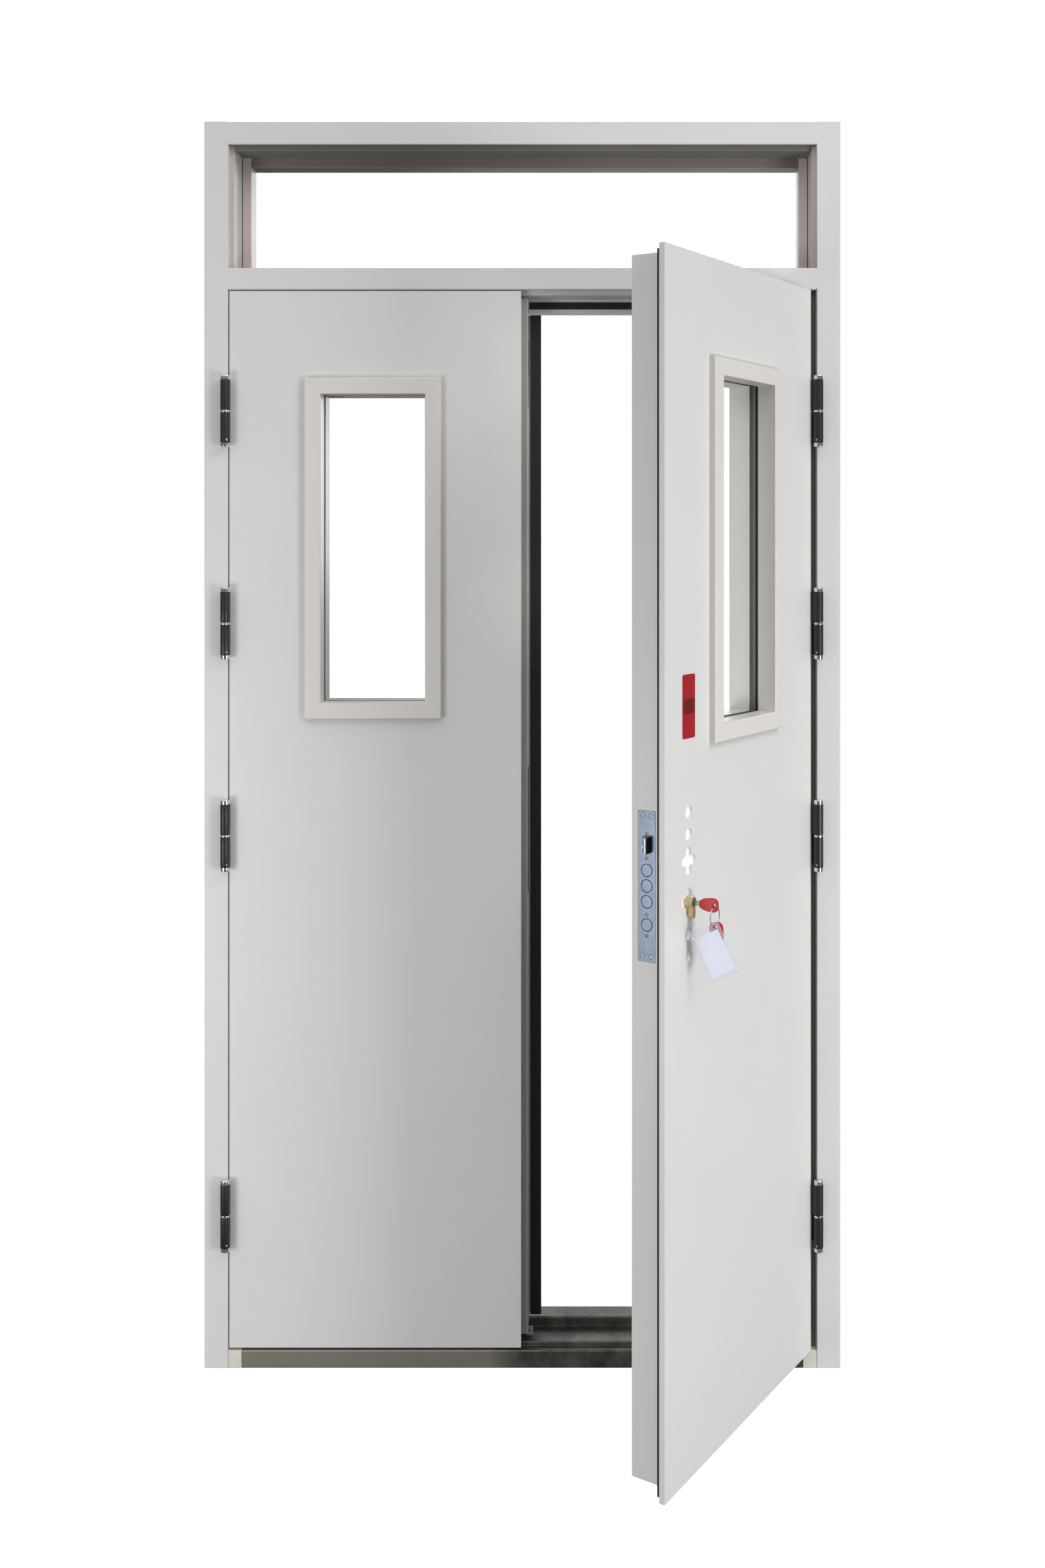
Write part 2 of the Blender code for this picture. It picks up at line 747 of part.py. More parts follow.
def build_leaf(side, hand, lip_edge, body_edge, looks, home, pivot):
    """Front skin with folded lips, back skin and mineral core.  Returns the three."""
    inner = SEAT_GAP + LEAF_SKIN
    hinge_edge = hand * LEAF_EDGE
    body_hinge = hand * BODY_EDGE

    def box(name, x, y, z):
        return add(name, block(name, x, y, z), None, home, pivot)

    front_skin = add(
        f"{side}_front_skin",
        block(
            "front_skin",
            (lip_edge, hinge_edge),
            (FRONT, FRONT + LIP_DEPTH),
            (LEAF_BOTTOM, LEAF_TOP),
        ),
        looks["leaf"],
        home,
        pivot,
    )
    hollow_edge = lip_edge + hand * LEAF_SKIN
    carve(
        front_skin,
        cutter(
            box(
                f"{side}_front_hollow",
                (hollow_edge, hinge_edge - hand * LEAF_SKIN),
                (FRONT + LEAF_SKIN, FRONT + LIP_DEPTH - LEAF_SKIN),
                (LEAF_BOTTOM + LEAF_SKIN, LEAF_TOP - LEAF_SKIN),
            )
        ),
    )
    shell_edge = body_edge if side == "active" else lip_edge
    mouth_edge = shell_edge + hand * LEAF_SKIN
    carve(
        front_skin,
        cutter(
            box(
                f"{side}_front_mouth",
                (mouth_edge, body_hinge - hand * LEAF_SKIN),
                (FRONT + LIP_DEPTH / 2, FRONT + 2 * LIP_DEPTH),
                (BODY_BOTTOM + LEAF_SKIN, BODY_TOP - LEAF_SKIN),
            )
        ),
    )

    shell_front = FRONT + LIP_DEPTH + SEAT_GAP
    back_skin = add(
        f"{side}_back_skin",
        block(
            "back_skin", (shell_edge, body_hinge), (shell_front, LEAF_BACK), (BODY_BOTTOM, BODY_TOP)
        ),
        looks["leaf"],
        home,
        pivot,
    )
    strip_front = FRONT + PASSIVE_STRIP_FRONT
    if side == "passive":
        carve(
            back_skin,
            cutter(
                box(
                    "passive_strip",
                    (lip_edge + hand * LEAF_SKIN / 2, body_edge),
                    (strip_front, LEAF_BACK),
                    (BODY_BOTTOM, BODY_TOP),
                )
            ),
            "UNION",
        )
        carve(
            back_skin,
            cutter(
                box(
                    "passive_strip_hollow",
                    (lip_edge + 2 * hand * LEAF_SKIN, body_edge + hand * LEAF_SKIN),
                    (strip_front + LEAF_SKIN, LEAF_BACK - LEAF_SKIN),
                    (BODY_BOTTOM + LEAF_SKIN, BODY_TOP - LEAF_SKIN),
                )
            ),
        )
    carve(
        back_skin,
        cutter(
            box(
                f"{side}_back_hollow",
                (mouth_edge, body_hinge - hand * LEAF_SKIN),
                (FRONT, LEAF_BACK - LEAF_SKIN),
                (BODY_BOTTOM + LEAF_SKIN, BODY_TOP - LEAF_SKIN),
            )
        ),
    )

    core = add(
        f"{side}_core",
        block(
            "core",
            (lip_edge + hand * inner, hinge_edge - hand * inner),
            (FRONT + inner, FRONT + LIP_DEPTH - inner),
            (LEAF_BOTTOM + inner, LEAF_TOP - inner),
        ),
        looks["core"],
        home,
        pivot,
    )
    carve(
        core,
        cutter(
            box(
                f"{side}_core_body",
                (shell_edge + hand * inner, body_hinge - hand * inner),
                (FRONT + LIP_DEPTH / 2, LEAF_BACK - inner),
                (BODY_BOTTOM + inner, BODY_TOP - inner),
            )
        ),
        "UNION",
    )
    if side == "passive":
        carve(
            core,
            cutter(
                box(
                    "passive_core_strip",
                    (lip_edge + 4 * hand * inner, body_edge + hand * inner),
                    (strip_front + inner, LEAF_BACK - inner),
                    (BODY_BOTTOM + inner, BODY_TOP - inner),
                )
            ),
            "UNION",
        )

    sight = window_cutter(f"{side}_sight", hand, BEAD_SHEET + SEAT_GAP, home, pivot)
    carve(front_skin, sight)
    carve(back_skin, sight)
    carve(core, window_cutter(f"{side}_glass_seat", hand, GLASS_EDGE + SEAT_GAP, home, pivot))
    return front_skin, back_skin, core


def build_meeting_edge(looks, home, pivot):
    """The passive leaf's back astragal with its seal."""
    low = SILL_TOP + ASTRAGAL_END
    high = RAIL_BOTTOM - LIP_REBATE - RAIL_STOP - ASTRAGAL_END
    bend_x = PASSIVE_BODY - ASTRAGAL_SHEET
    plate_front = LEAF_BACK + SEAT_GAP
    path = [
        (bend_x - ASTRAGAL_FOOT, plate_front),
        (bend_x, plate_front),
        (bend_x, plate_front + ASTRAGAL_STEP),
        (PASSIVE_BODY + ASTRAGAL_REACH, plate_front + ASTRAGAL_STEP),
    ]
    section = bent_sheet(path, ASTRAGAL_SHEET, ASTRAGAL_BEND)
    astragal = add(
        "astragal", prism("astragal", section, along_z, low, high), looks["leaf"], home, pivot
    )
    smooth(astragal)
    seal_right = PASSIVE_BODY + ASTRAGAL_REACH - SEAT_GAP
    add(
        "meeting_seal",
        block(
            "meeting_seal",
            (seal_right - MEETING_SEAL_WIDTH, seal_right),
            (SEAL_FRONT, plate_front + ASTRAGAL_STEP - SEAT_GAP),
            (low, high),
        ),
        looks["seal"],
        home,
        pivot,
    )


def build_edge_strip(looks, home, pivot):
    """The black strip along the free edge of the active leaf's lip, on its back."""
    left = ACTIVE_LIP + EDGE_STRIP_INSET
    front = FRONT + LIP_DEPTH + SEAT_GAP
    add(
        "edge_strip",
        block(
            "edge_strip",
            (left, left + EDGE_STRIP_WIDTH),
            (front, front + EDGE_STRIP),
            (LEAF_BOTTOM + EDGE_STRIP_END, LEAF_TOP - EDGE_STRIP_END),
        ),
        looks["seal"],
        home,
        pivot,
    )


def drilled(name, a, b, radius, place, start, end, home, pivot, sides=HOLE_SIDES):
    return cutter(
        add(name, prism(name, circle(a, b, radius, sides), place, start, end), None, home, pivot)
    )


def build_lock(leaf, looks, home, pivot, latch_pivot, latch_home):
    """Faceplate with four bolt ends, and the sprung latch, in the active leaf's edge."""
    _, back_skin, core = leaf
    y = (LOCK_Y - FACEPLATE_WIDTH / 2, LOCK_Y + FACEPLATE_WIDTH / 2)
    outer = ACTIVE_BODY
    recess = cutter(
        add(
            "faceplate_recess",
            block(
                "recess",
                (outer - FACEPLATE, outer + FACEPLATE + SEAT_GAP),
                (y[0] - SEAT_GAP, y[1] + SEAT_GAP),
                (LOCK_LOW - SEAT_GAP, LOCK_HIGH + SEAT_GAP),
            ),
            None,
            home,
            pivot,
        )
    )
    carve(back_skin, recess)
    carve(core, recess)
    plate = add(
        "lock_faceplate",
        block("lock_faceplate", (outer, outer + FACEPLATE), y, (LOCK_LOW, LOCK_HIGH)),
        looks["lock"],
        home,
        pivot,
    )
    for number, height in enumerate(BOLT_HEIGHTS, 1):
        carve(
            plate,
            drilled(
                f"bolt_end_{number}",
                LOCK_Y,
                height,
                BOLT_RADIUS,
                along_x,
                outer - BOLT_PROUD,
                outer + FACEPLATE / 2,
                home,
                pivot,
            ),
            "UNION",
        )
    half_y = LATCH_THICK / 2
    half_z = LATCH_TALL / 2
    slot = cutter(
        add(
            "latch_slot",
            block(
                "latch_slot",
                (outer - FACEPLATE, outer + LATCH_TAIL + LATCH_THROW + FACEPLATE),
                (LOCK_Y - half_y - LATCH_GAP, LOCK_Y + half_y + LATCH_GAP),
                (LATCH_HEIGHT - half_z - LATCH_GAP, LATCH_HEIGHT + half_z + LATCH_GAP),
            ),
            None,
            home,
            pivot,
        )
    )
    carve(plate, slot)
    carve(core, slot)
    nose = outer - LATCH_THROW
    outline = [
        (nose, LOCK_Y - half_y),
        (outer + LATCH_TAIL, LOCK_Y - half_y),
        (outer + LATCH_TAIL, LOCK_Y + half_y),
        (outer - LATCH_GAP, LOCK_Y + half_y),
        (nose, LOCK_Y - half_y / 2),
    ]
    add(
        "latch_bolt",
        prism(
            "latch_bolt",
            outline,
            along_z,
            LATCH_HEIGHT - half_z,
            LATCH_HEIGHT + half_z,
        ),
        looks["lock"],
        latch_home,
        latch_pivot,
    )


def build_strike(leaf, looks, home, pivot):
    """Strike plate and top flush bolt in the passive leaf's edge."""
    _, back_skin, core = leaf
    outer = PASSIVE_BODY
    y = (LOCK_Y - STRIKE_WIDTH / 2, LOCK_Y + STRIKE_WIDTH / 2)
    flush_high = BODY_TOP - FLUSH_BOLT_BELOW_TOP
    plates = (
        ("strike_plate", y, (LOCK_LOW, LOCK_HIGH)),
        (
            "flush_bolt",
            (LOCK_Y - FLUSH_BOLT_WIDTH / 2, LOCK_Y + FLUSH_BOLT_WIDTH / 2),
            (flush_high - FLUSH_BOLT_LENGTH, flush_high),
        ),
    )
    made = {}
    for name, wide, tall in plates:
        recess = cutter(
            add(
                f"{name}_recess",
                block(
                    name,
                    (outer - STRIKE_SHEET - SEAT_GAP, outer + STRIKE_SHEET),
                    (wide[0] - SEAT_GAP, wide[1] + SEAT_GAP),
                    (tall[0] - SEAT_GAP, tall[1] + SEAT_GAP),
                ),
                None,
                home,
                pivot,
            )
        )
        carve(back_skin, recess)
        carve(core, recess)
        made[name] = add(
            name,
            block(name, (outer - STRIKE_SHEET, outer), wide, tall),
            looks["lock"],
            home,
            pivot,
        )
    half_y = LATCH_THICK / 2 + STRIKE_CLEARANCE
    half_z = LATCH_TALL / 2 + STRIKE_CLEARANCE
    pocket = cutter(
        add(
            "latch_pocket",
            block(
                "latch_pocket",
                (outer - STRIKE_POCKET, outer + STRIKE_SHEET),
                (LOCK_Y - half_y, LOCK_Y + half_y),
                (LATCH_HEIGHT - half_z, LATCH_HEIGHT + half_z),
            ),
            None,
            home,
            pivot,
        )
    )
    carve(made["strike_plate"], pocket)
    carve(core, pocket)
    lever_half = FLUSH_BOLT_LENGTH / 6
    lever_centre = flush_high - FLUSH_BOLT_LENGTH / 2
    lever = cutter(
        add(
            "flush_lever",
            block(
                "flush_lever",
                (outer - STRIKE_SHEET / 2, outer + STRIKE_SHEET / 2),
                (LOCK_Y - FLUSH_BOLT_WIDTH / 4, LOCK_Y + FLUSH_BOLT_WIDTH / 4),
                (lever_centre - lever_half, lever_centre + lever_half),
            ),
            None,
            home,
            pivot,
        )
    )
    carve(made["flush_bolt"], lever, "UNION")


def lobed_outline(height):
    """Hole with four round lobes about a middle one, in x and z."""
    quarter = math.pi / 2
    lobes = [(0, 0, LOBE_MIDDLE), (LOBE_DROP, -quarter, LOBE_RADIUS)]
    lobes += [(LOBE_OFFSET, turn * quarter, LOBE_RADIUS) for turn in range(3)]
    outline = []
    for i in range(LOBED_SIDES):
        angle = 2 * math.pi * (i + 0.5) / LOBED_SIDES
        reach = 0
        for offset, bearing, radius in lobes:
            across = radius**2 - (offset * math.sin(angle - bearing)) ** 2
            if across >= 0:
                far = offset * math.cos(angle - bearing) + math.sqrt(across)
                reach = max(reach, far)
        outline.append((LOCK_X + reach * math.cos(angle), height + reach * math.sin(angle)))
    return outline


def build_prepared_holes(leaf, home, pivot):
    """Shallow holes for roses, spindle and cylinder that show the core on both faces."""
    front_skin, back_skin, core = leaf
    outlines = [circle(LOCK_X, height, ROSE_RADIUS, HOLE_SIDES) for height in ROSE_HEIGHTS]
    outlines += [lobed_outline(SPINDLE_HEIGHT), lobed_outline(CYLINDER_HEIGHT)]
    faces = (
        ("front", front_skin, FRONT - HOLE_DEPTH, FRONT + HOLE_DEPTH),
        ("back", back_skin, LEAF_BACK - HOLE_DEPTH, LEAF_BACK + HOLE_DEPTH),
    )
    for face, skin, start, end in faces:
        name = f"prepared_holes_{face}"
        holes = cutter(add(name, prisms(name, outlines, along_y, start, end), None, home, pivot))
        carve(skin, holes)
        carve(core, holes)


def cylinder_outline(grow):
    """The keyhole-shaped section of a profile cylinder in x and z."""
    radius = CYLINDER_RADIUS + grow
    half = CYLINDER_TAIL_WIDTH / 2 + grow
    start = -math.pi / 2 + math.asin(half / radius)
    sweep = 2 * math.pi - 2 * (start + math.pi / 2)
    outline = []
    for i in range(HOLE_SIDES + 1):
        angle = start + sweep * i / HOLE_SIDES
        outline.append(
            (LOCK_X + radius * math.cos(angle), CYLINDER_HEIGHT + radius * math.sin(angle))
        )
    foot = CYLINDER_HEIGHT - CYLINDER_TAIL - grow
    corner = CYLINDER_TAIL_WIDTH / 4
    outline += [
        (LOCK_X - half, foot + corner),
        (LOCK_X - half + corner, foot),
        (LOCK_X + half - corner, foot),
        (LOCK_X + half, foot + corner),
    ]
    return outline


def build_cylinder(leaf, looks, home, pivot, key_home, key_pivot):
    """Profile cylinder through the leaf, and the plug that turns with its key."""
    ends = (FRONT - CYLINDER_PROUD, LEAF_BACK + CYLINDER_BACK_PROUD)
    passage = cutter(
        add(
            "cylinder_passage",
            prism(
                "passage",
                cylinder_outline(CYLINDER_GAP),
                along_y,
                ends[0] - CYLINDER_PROUD,
                ends[1] + CYLINDER_PROUD,
            ),
            None,
            home,
            pivot,
        )
    )
    for piece in leaf:
        carve(piece, passage)
    body = add(
        "lock_cylinder",
        prism("lock_cylinder", cylinder_outline(0), along_y, *ends),
        looks["brass"],
        home,
        pivot,
    )
    carve(
        body,
        drilled(
            "plug_bore",
            LOCK_X,
            CYLINDER_HEIGHT,
            PLUG_RADIUS + CYLINDER_GAP,
            along_y,
            ends[0] - CYLINDER_PROUD,
            ends[0] + PLUG_LENGTH + CYLINDER_GAP,
            home,
            pivot,
        ),
    )
    smooth(body)
    plug = add(
        "cylinder_plug",
        prism(
            "cylinder_plug",
            circle(LOCK_X, CYLINDER_HEIGHT, PLUG_RADIUS, HOLE_SIDES),
            along_y,
            ends[0],
            ends[0] + PLUG_LENGTH,
        ),
        looks["brass"],
        key_home,
        key_pivot,
    )
    carve(
        plug,
        cutter(
            add(
                "keyway",
                block(
                    "keyway",
                    (LOCK_X - KEYWAY_WIDTH / 2, LOCK_X + KEYWAY_WIDTH / 2),
                    (ends[0] - CYLINDER_PROUD, ends[0] + KEY_BLADE_DEPTH + SEAT_GAP),
                    (CYLINDER_HEIGHT - KEYWAY_TALL / 2, CYLINDER_HEIGHT + KEYWAY_TALL / 2),
                ),
                None,
                key_home,
                key_pivot,
            )
        ),
    )
    smooth(plug)


def key_bow_outline(centre_a, centre_b):
    """Rounded head of a key, which lies along a and narrows towards its blade at the far end."""
    outline = []
    for i in range(BOW_SIDES):
        angle = 2 * math.pi * i / BOW_SIDES
        c, s = math.cos(angle), math.sin(angle)
        along = math.copysign(abs(c) ** KEY_BOW_ROUND, c)
        aside = math.copysign(abs(s) ** KEY_BOW_ROUND, s)
        half = KEY_BOW / 2 * (1 - KEY_BOW_TAPER * (1 + along) / 2)
        outline.append((centre_a + KEY_BOW_LENGTH / 2 * along, centre_b + half * aside))
    return outline


def build_key(looks, key_home, key_pivot, ring_home, ring_pivot):
    """Key in the plug, and the ring that hangs from its head with a second key and a tag."""
    face = FRONT - CYLINDER_PROUD
    bow_back = face - KEY_NECK
    bow_centre = bow_back - KEY_BOW_LENGTH / 2
    half = KEY_BOW_THICK / 2
    key = add(
        "key",
        prism(
            "key",
            key_bow_outline(bow_centre, CYLINDER_HEIGHT),
            along_x,
            LOCK_X - half,
            LOCK_X + half,
        ),
        looks["key"],
        key_home,
        key_pivot,
    )
    blade = cutter(
        add(
            "key_blade",
            block(
                "key_blade",
                (LOCK_X - KEY_BLADE / 2, LOCK_X + KEY_BLADE / 2),
                (bow_back - KEY_NECK / 2, face + KEY_BLADE_DEPTH),
                (CYLINDER_HEIGHT - KEY_BLADE_TALL / 2, CYLINDER_HEIGHT + KEY_BLADE_TALL / 2),
            ),
            None,
            key_home,
            key_pivot,
        )
    )
    carve(key, blade, "UNION")
    carve(
        key,
        drilled(
            "key_eye",
            KEY_HOLE_Y,
            CYLINDER_HEIGHT,
            KEY_HOLE_RADIUS,
            along_x,
            LOCK_X - KEY_BOW_THICK,
            LOCK_X + KEY_BOW_THICK,
            key_home,
            key_pivot,
            EYE_SIDES,
        ),
    )
    smooth(key)
    build_ring(looks, ring_home, ring_pivot)


def build_ring(looks, home, pivot):
    """Wire ring through the key's eye, with the tag and the second key on its foot."""
    centre = Vector((LOCK_X, KEY_HOLE_Y, RING_TOP - RING_RADIUS))
    points, faces = [], []
    for i in range(RING_SIDES):
        angle = 2 * math.pi * i / RING_SIDES
        outward = Vector((math.cos(angle), 0, math.sin(angle)))
        for a, b in circle(RING_RADIUS, 0, RING_WIRE, WIRE_SIDES):
            points.append(centre + outward * a + Vector((0, b, 0)))
        onward = (i + 1) % RING_SIDES
        for j in range(WIRE_SIDES):
            beside = (j + 1) % WIRE_SIDES
            corners = ((i, j), (i, beside), (onward, beside), (onward, j))
            faces.append([step * WIRE_SIDES + side for step, side in corners])
    ring = add("key_ring", mesh_from("key_ring", points, faces), looks["lock"], home, pivot)
    smooth(ring, 60)
    build_tag(looks, home, pivot)
    build_spare_key(looks, home, pivot)


def hung(a, b, t):
    """Places a flat piece that hangs on the ring's foot, turned a little from the leaf's edge."""
    c, s = math.cos(HANG_TURN), math.sin(HANG_TURN)
    return Vector((LOCK_X + a * s + t * c, KEY_HOLE_Y - a * c + t * s, b))


def eye_place(radius, near, far):
    """Where the eye of a piece between near and far sits, so that it rests on the wire."""
    aside = (near + far) / 2 * math.tan(HANG_TURN)
    reach = max(abs(near), abs(far)) / math.cos(HANG_TURN)
    rise = RING_RADIUS - math.sqrt(RING_RADIUS**2 - reach**2)
    return aside, RING_FOOT + rise + RING_WIRE + RING_SEAT - radius


def leaned(outline, lean, a, b):
    """Turns an outline about its own zero point, which goes to a, b."""
    c, s = math.cos(lean), math.sin(lean)
    return [(a + along * c - up * s, b + along * s + up * c) for along, up in outline]


def build_tag(looks, home, pivot):
    """Clear pouch that hangs by an eye near its corner."""
    near, far = -TAG_NEAR, TAG_THICK - TAG_NEAR
    middle_a = TAG_HOLE_SIDE - TAG_WIDTH / 2
    middle_b = TAG_HOLE_TOP - TAG_LENGTH / 2
    outline = []
    for turn, (side, end) in enumerate(((1, 1), (-1, 1), (-1, -1), (1, -1))):
        corner_a = middle_a + side * (TAG_WIDTH / 2 - TAG_CORNER)
        corner_b = middle_b + end * (TAG_LENGTH / 2 - TAG_CORNER)
        for i in range(TAG_CORNER_STEPS + 1):
            angle = math.pi / 2 * (turn + i / TAG_CORNER_STEPS)
            outline.append(
                (corner_a + TAG_CORNER * math.cos(angle), corner_b + TAG_CORNER * math.sin(angle))
            )
    eye = eye_place(TAG_HOLE_RADIUS, near, far)
    tag = add(
        "key_tag",
        prism("key_tag", leaned(outline, TAG_LEAN, *eye), hung, near, far),
        looks["pouch"],
        home,
        pivot,
    )
    hole = (*eye, TAG_HOLE_RADIUS, hung, near - TAG_THICK, far + TAG_THICK)
    carve(tag, drilled("tag_eye", *hole, home, pivot, EYE_SIDES))


def build_spare_key(looks, home, pivot):
    """Second key behind the tag, hanging from the eye in its head."""
    near, far = SPARE_NEAR, SPARE_NEAR + KEY_BOW_THICK
    middle = (near + far) / 2
    eye = eye_place(KEY_HOLE_RADIUS, near, far)
    lean = SPARE_LEAN - math.pi / 2
    bow_end = KEY_BOW_LENGTH - KEY_HOLE_FROM_END
    bow = key_bow_outline(bow_end - KEY_BOW_LENGTH / 2, 0)
    spare = add(
        "spare_key",
        prism("spare_key", leaned(bow, lean, *eye), hung, near, far),
        looks["key"],
        home,
        pivot,
    )
    half = KEY_BLADE_TALL / 2
    blade = rectangle(bow_end - KEY_NECK, bow_end + KEY_BLADE_LENGTH, -half, half)
    blade_prism = prism(
        "spare_blade",
        leaned(blade, lean, *eye),
        hung,
        middle - KEY_BLADE / 2,
        middle + KEY_BLADE / 2,
    )
    carve(spare, cutter(add("spare_blade", blade_prism, None, home, pivot)), "UNION")
    hole = (*eye, KEY_HOLE_RADIUS, hung, near - KEY_BOW_THICK, far + KEY_BOW_THICK)
    carve(spare, drilled("spare_eye", *hole, home, pivot, EYE_SIDES))
    smooth(spare)


def empty(name, location, parent=None):
    marker = bpy.data.objects.new(name, None)
    bpy.context.scene.collection.objects.link(marker)
    marker.location = location
    marker.parent = parent
    return marker


def main():
    clear_scene()
    looks = {
        "frame": finish("powder_coat_frame", "C8C6C6", 0.0, 0.45),
        "leaf": finish("powder_coat_leaf", "D4D4D2", 0.0, 0.45),
        "bead": finish("powder_coat_bead", "CBC7C2", 0.0, 0.45),
        "sill": finish("sill_steel", "55564F", 0.6, 0.5),
        "seal": finish("black_rubber", "171717", 0.0, 0.7),
        "hinge": finish("black_hinge", "26282C", 0.2, 0.45),
        "core": finish("mineral_core", "EDEDF4", 0.0, 0.9),
        "glass": finish("fire_glass", "DDE6E2", 0.0, 0.05, 0.3),
        "lock": finish("zinc_plate", "8792A2", 0.9, 0.35),
        "brass": finish("brass", "B09A72", 1.0, 0.3),
        "key": finish("red_plastic", "C8161A", 0.0, 0.4),
        "pouch": finish("clear_plastic", "DADDE2", 0.0, 0.3, 0.5),
    }
    build_frame(looks)

    passive_home = Vector((-AXIS_X, AXIS_Y, 0))
    active_home = Vector((AXIS_X, AXIS_Y, 0))
    passive = empty("passive_hinge_line", passive_home)
    active = empty("active_hinge_line", active_home)
    active.rotation_euler.z = REST_OPENING
    latch_home = Vector((ACTIVE_BODY, LOCK_Y, LATCH_HEIGHT))
    latch = empty("latch_line", latch_home - active_home, active)
    key_home = Vector((LOCK_X, FRONT, CYLINDER_HEIGHT))
    key = empty("key_line", key_home - active_home, active)
    ring_home = Vector((LOCK_X, KEY_HOLE_Y, RING_TOP))
    ring = empty("ring_line", ring_home - key_home, key)

    passive_leaf = build_leaf(
        "passive", -1, MEETING_LINE, PASSIVE_BODY, looks, passive_home, passive
    )
    active_leaf = build_leaf("active", 1, ACTIVE_LIP, ACTIVE_BODY, looks, active_home, active)
    build_vision_panel("passive", -1, looks, passive_home, passive)
    build_vision_panel("active", 1, looks, active_home, active)
    for number, height in enumerate(HINGE_HEIGHTS, 1):
        build_hinge("left", -1, number, height, passive, passive_home, looks)
        build_hinge("right", 1, number, height, active, active_home, looks)
    build_meeting_edge(looks, passive_home, passive)
    build_edge_strip(looks, active_home, active)
    build_lock(active_leaf, looks, active_home, active, latch, latch_home)
    build_strike(passive_leaf, looks, passive_home, passive)
    build_prepared_holes(active_leaf, active_home, active)
    build_cylinder(active_leaf, looks, active_home, active, key_home, key)
    build_key(looks, key_home, key, ring_home, ring)


main()
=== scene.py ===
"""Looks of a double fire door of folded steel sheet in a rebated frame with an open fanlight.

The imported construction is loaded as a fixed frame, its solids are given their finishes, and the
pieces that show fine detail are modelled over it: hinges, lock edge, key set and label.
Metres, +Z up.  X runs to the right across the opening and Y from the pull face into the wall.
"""

from __future__ import annotations

import json
import logging
import math
from collections.abc import Callable, Iterable, Sequence
from dataclasses import dataclass, field
from enum import Enum
from typing import Any

import bmesh
import bpy
from bpy.types import Material, Node, NodeSocket, NodeTree, Object
from mathutils import Matrix, Vector

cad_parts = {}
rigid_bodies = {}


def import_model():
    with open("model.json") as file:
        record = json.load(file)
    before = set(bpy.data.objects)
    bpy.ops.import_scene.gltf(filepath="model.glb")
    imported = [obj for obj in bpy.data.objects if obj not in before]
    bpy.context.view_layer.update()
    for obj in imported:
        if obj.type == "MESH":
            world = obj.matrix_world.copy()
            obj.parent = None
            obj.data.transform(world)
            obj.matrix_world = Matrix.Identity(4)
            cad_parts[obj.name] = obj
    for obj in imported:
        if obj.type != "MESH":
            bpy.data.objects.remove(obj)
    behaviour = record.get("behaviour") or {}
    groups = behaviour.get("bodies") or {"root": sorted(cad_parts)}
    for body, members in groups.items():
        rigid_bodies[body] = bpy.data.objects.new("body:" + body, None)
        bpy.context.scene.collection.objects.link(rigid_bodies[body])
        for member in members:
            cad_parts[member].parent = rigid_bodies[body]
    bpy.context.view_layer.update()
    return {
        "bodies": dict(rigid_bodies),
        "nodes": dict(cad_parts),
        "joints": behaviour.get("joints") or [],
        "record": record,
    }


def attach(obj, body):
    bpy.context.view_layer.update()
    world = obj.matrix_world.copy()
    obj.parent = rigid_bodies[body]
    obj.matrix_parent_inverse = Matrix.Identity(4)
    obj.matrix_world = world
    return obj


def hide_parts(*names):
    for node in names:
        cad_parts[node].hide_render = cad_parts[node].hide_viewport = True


LOG = logging.getLogger("fire_door")
MM = 0.001
FRONT = -10 * MM
AXIS_X = 556.5 * MM
AXIS_Y = -24 * MM
REST_OPENING = math.radians(58.5)
WINDOW_X = 280.5 * MM
WINDOW_Z = 1545.8 * MM
SMOOTHEST = 0.02
PEEL_SIZE = 2.6 * MM
PEEL_STRENGTH = 0.35
MERGE_REACH = 0.002 * MM
FLAT_ANGLE = math.radians(0.5)
# A face or an edge runs along an axis when this share of it does.
ALONG = 0.9
# A flat end looks straight along it, and the rounding beside it doesn't.
SQUARE_ON = 0.99
# A fold's faces count as part of a flat from this share on.
LEANING = 0.5
Point = tuple[float, float, float]
Span = tuple[float, float]
# Says yes or no to a face, from its centre and its normal.
FaceTest = Callable[[Vector, Vector], bool]


class Hand(Enum):
    """Which side of the opening a piece stands on, as the sign of its x."""

    LEFT = -1
    RIGHT = 1

    @property
    def side(self) -> str:
        """The side as the pieces' names give it."""
        return self.name.lower()


def to_linear(hex_colour: str, alpha: float = 1.0) -> tuple[float, float, float, float]:
    """Turns an sRGB hex colour into linear light.

    Args:
        hex_colour: Six hex digits.
        alpha: Opacity, kept as it is.

    Returns:
        Red, green, blue and alpha.
    """
    channels = []
    for start in (0, 2, 4):
        value = int(hex_colour[start : start + 2], 16) / 255
        channels.append(value / 12.92 if value <= 0.04045 else ((value + 0.055) / 1.055) ** 2.4)
    return (channels[0], channels[1], channels[2], alpha)


def add_node(
    tree: NodeTree,
    kind: str,
    settings: dict[str, Any] | None = None,
    inputs: dict[Any, Any] | None = None,
) -> Node:
    """Adds a node with its settings, values and links.

    Args:
        tree: The material's node tree.
        kind: The node's type name.
        settings: Properties of the node itself.
        inputs: Values or output sockets, by input name or number.

    Returns:
        The new node.
    """
    node = tree.nodes.new(kind)
    for name, value in (settings or {}).items():
        setattr(node, name, value)
    for name, value in (inputs or {}).items():
        if isinstance(value, NodeSocket):
            tree.links.new(value, node.inputs[name])
        else:
            node.inputs[name].default_value = value
    return node


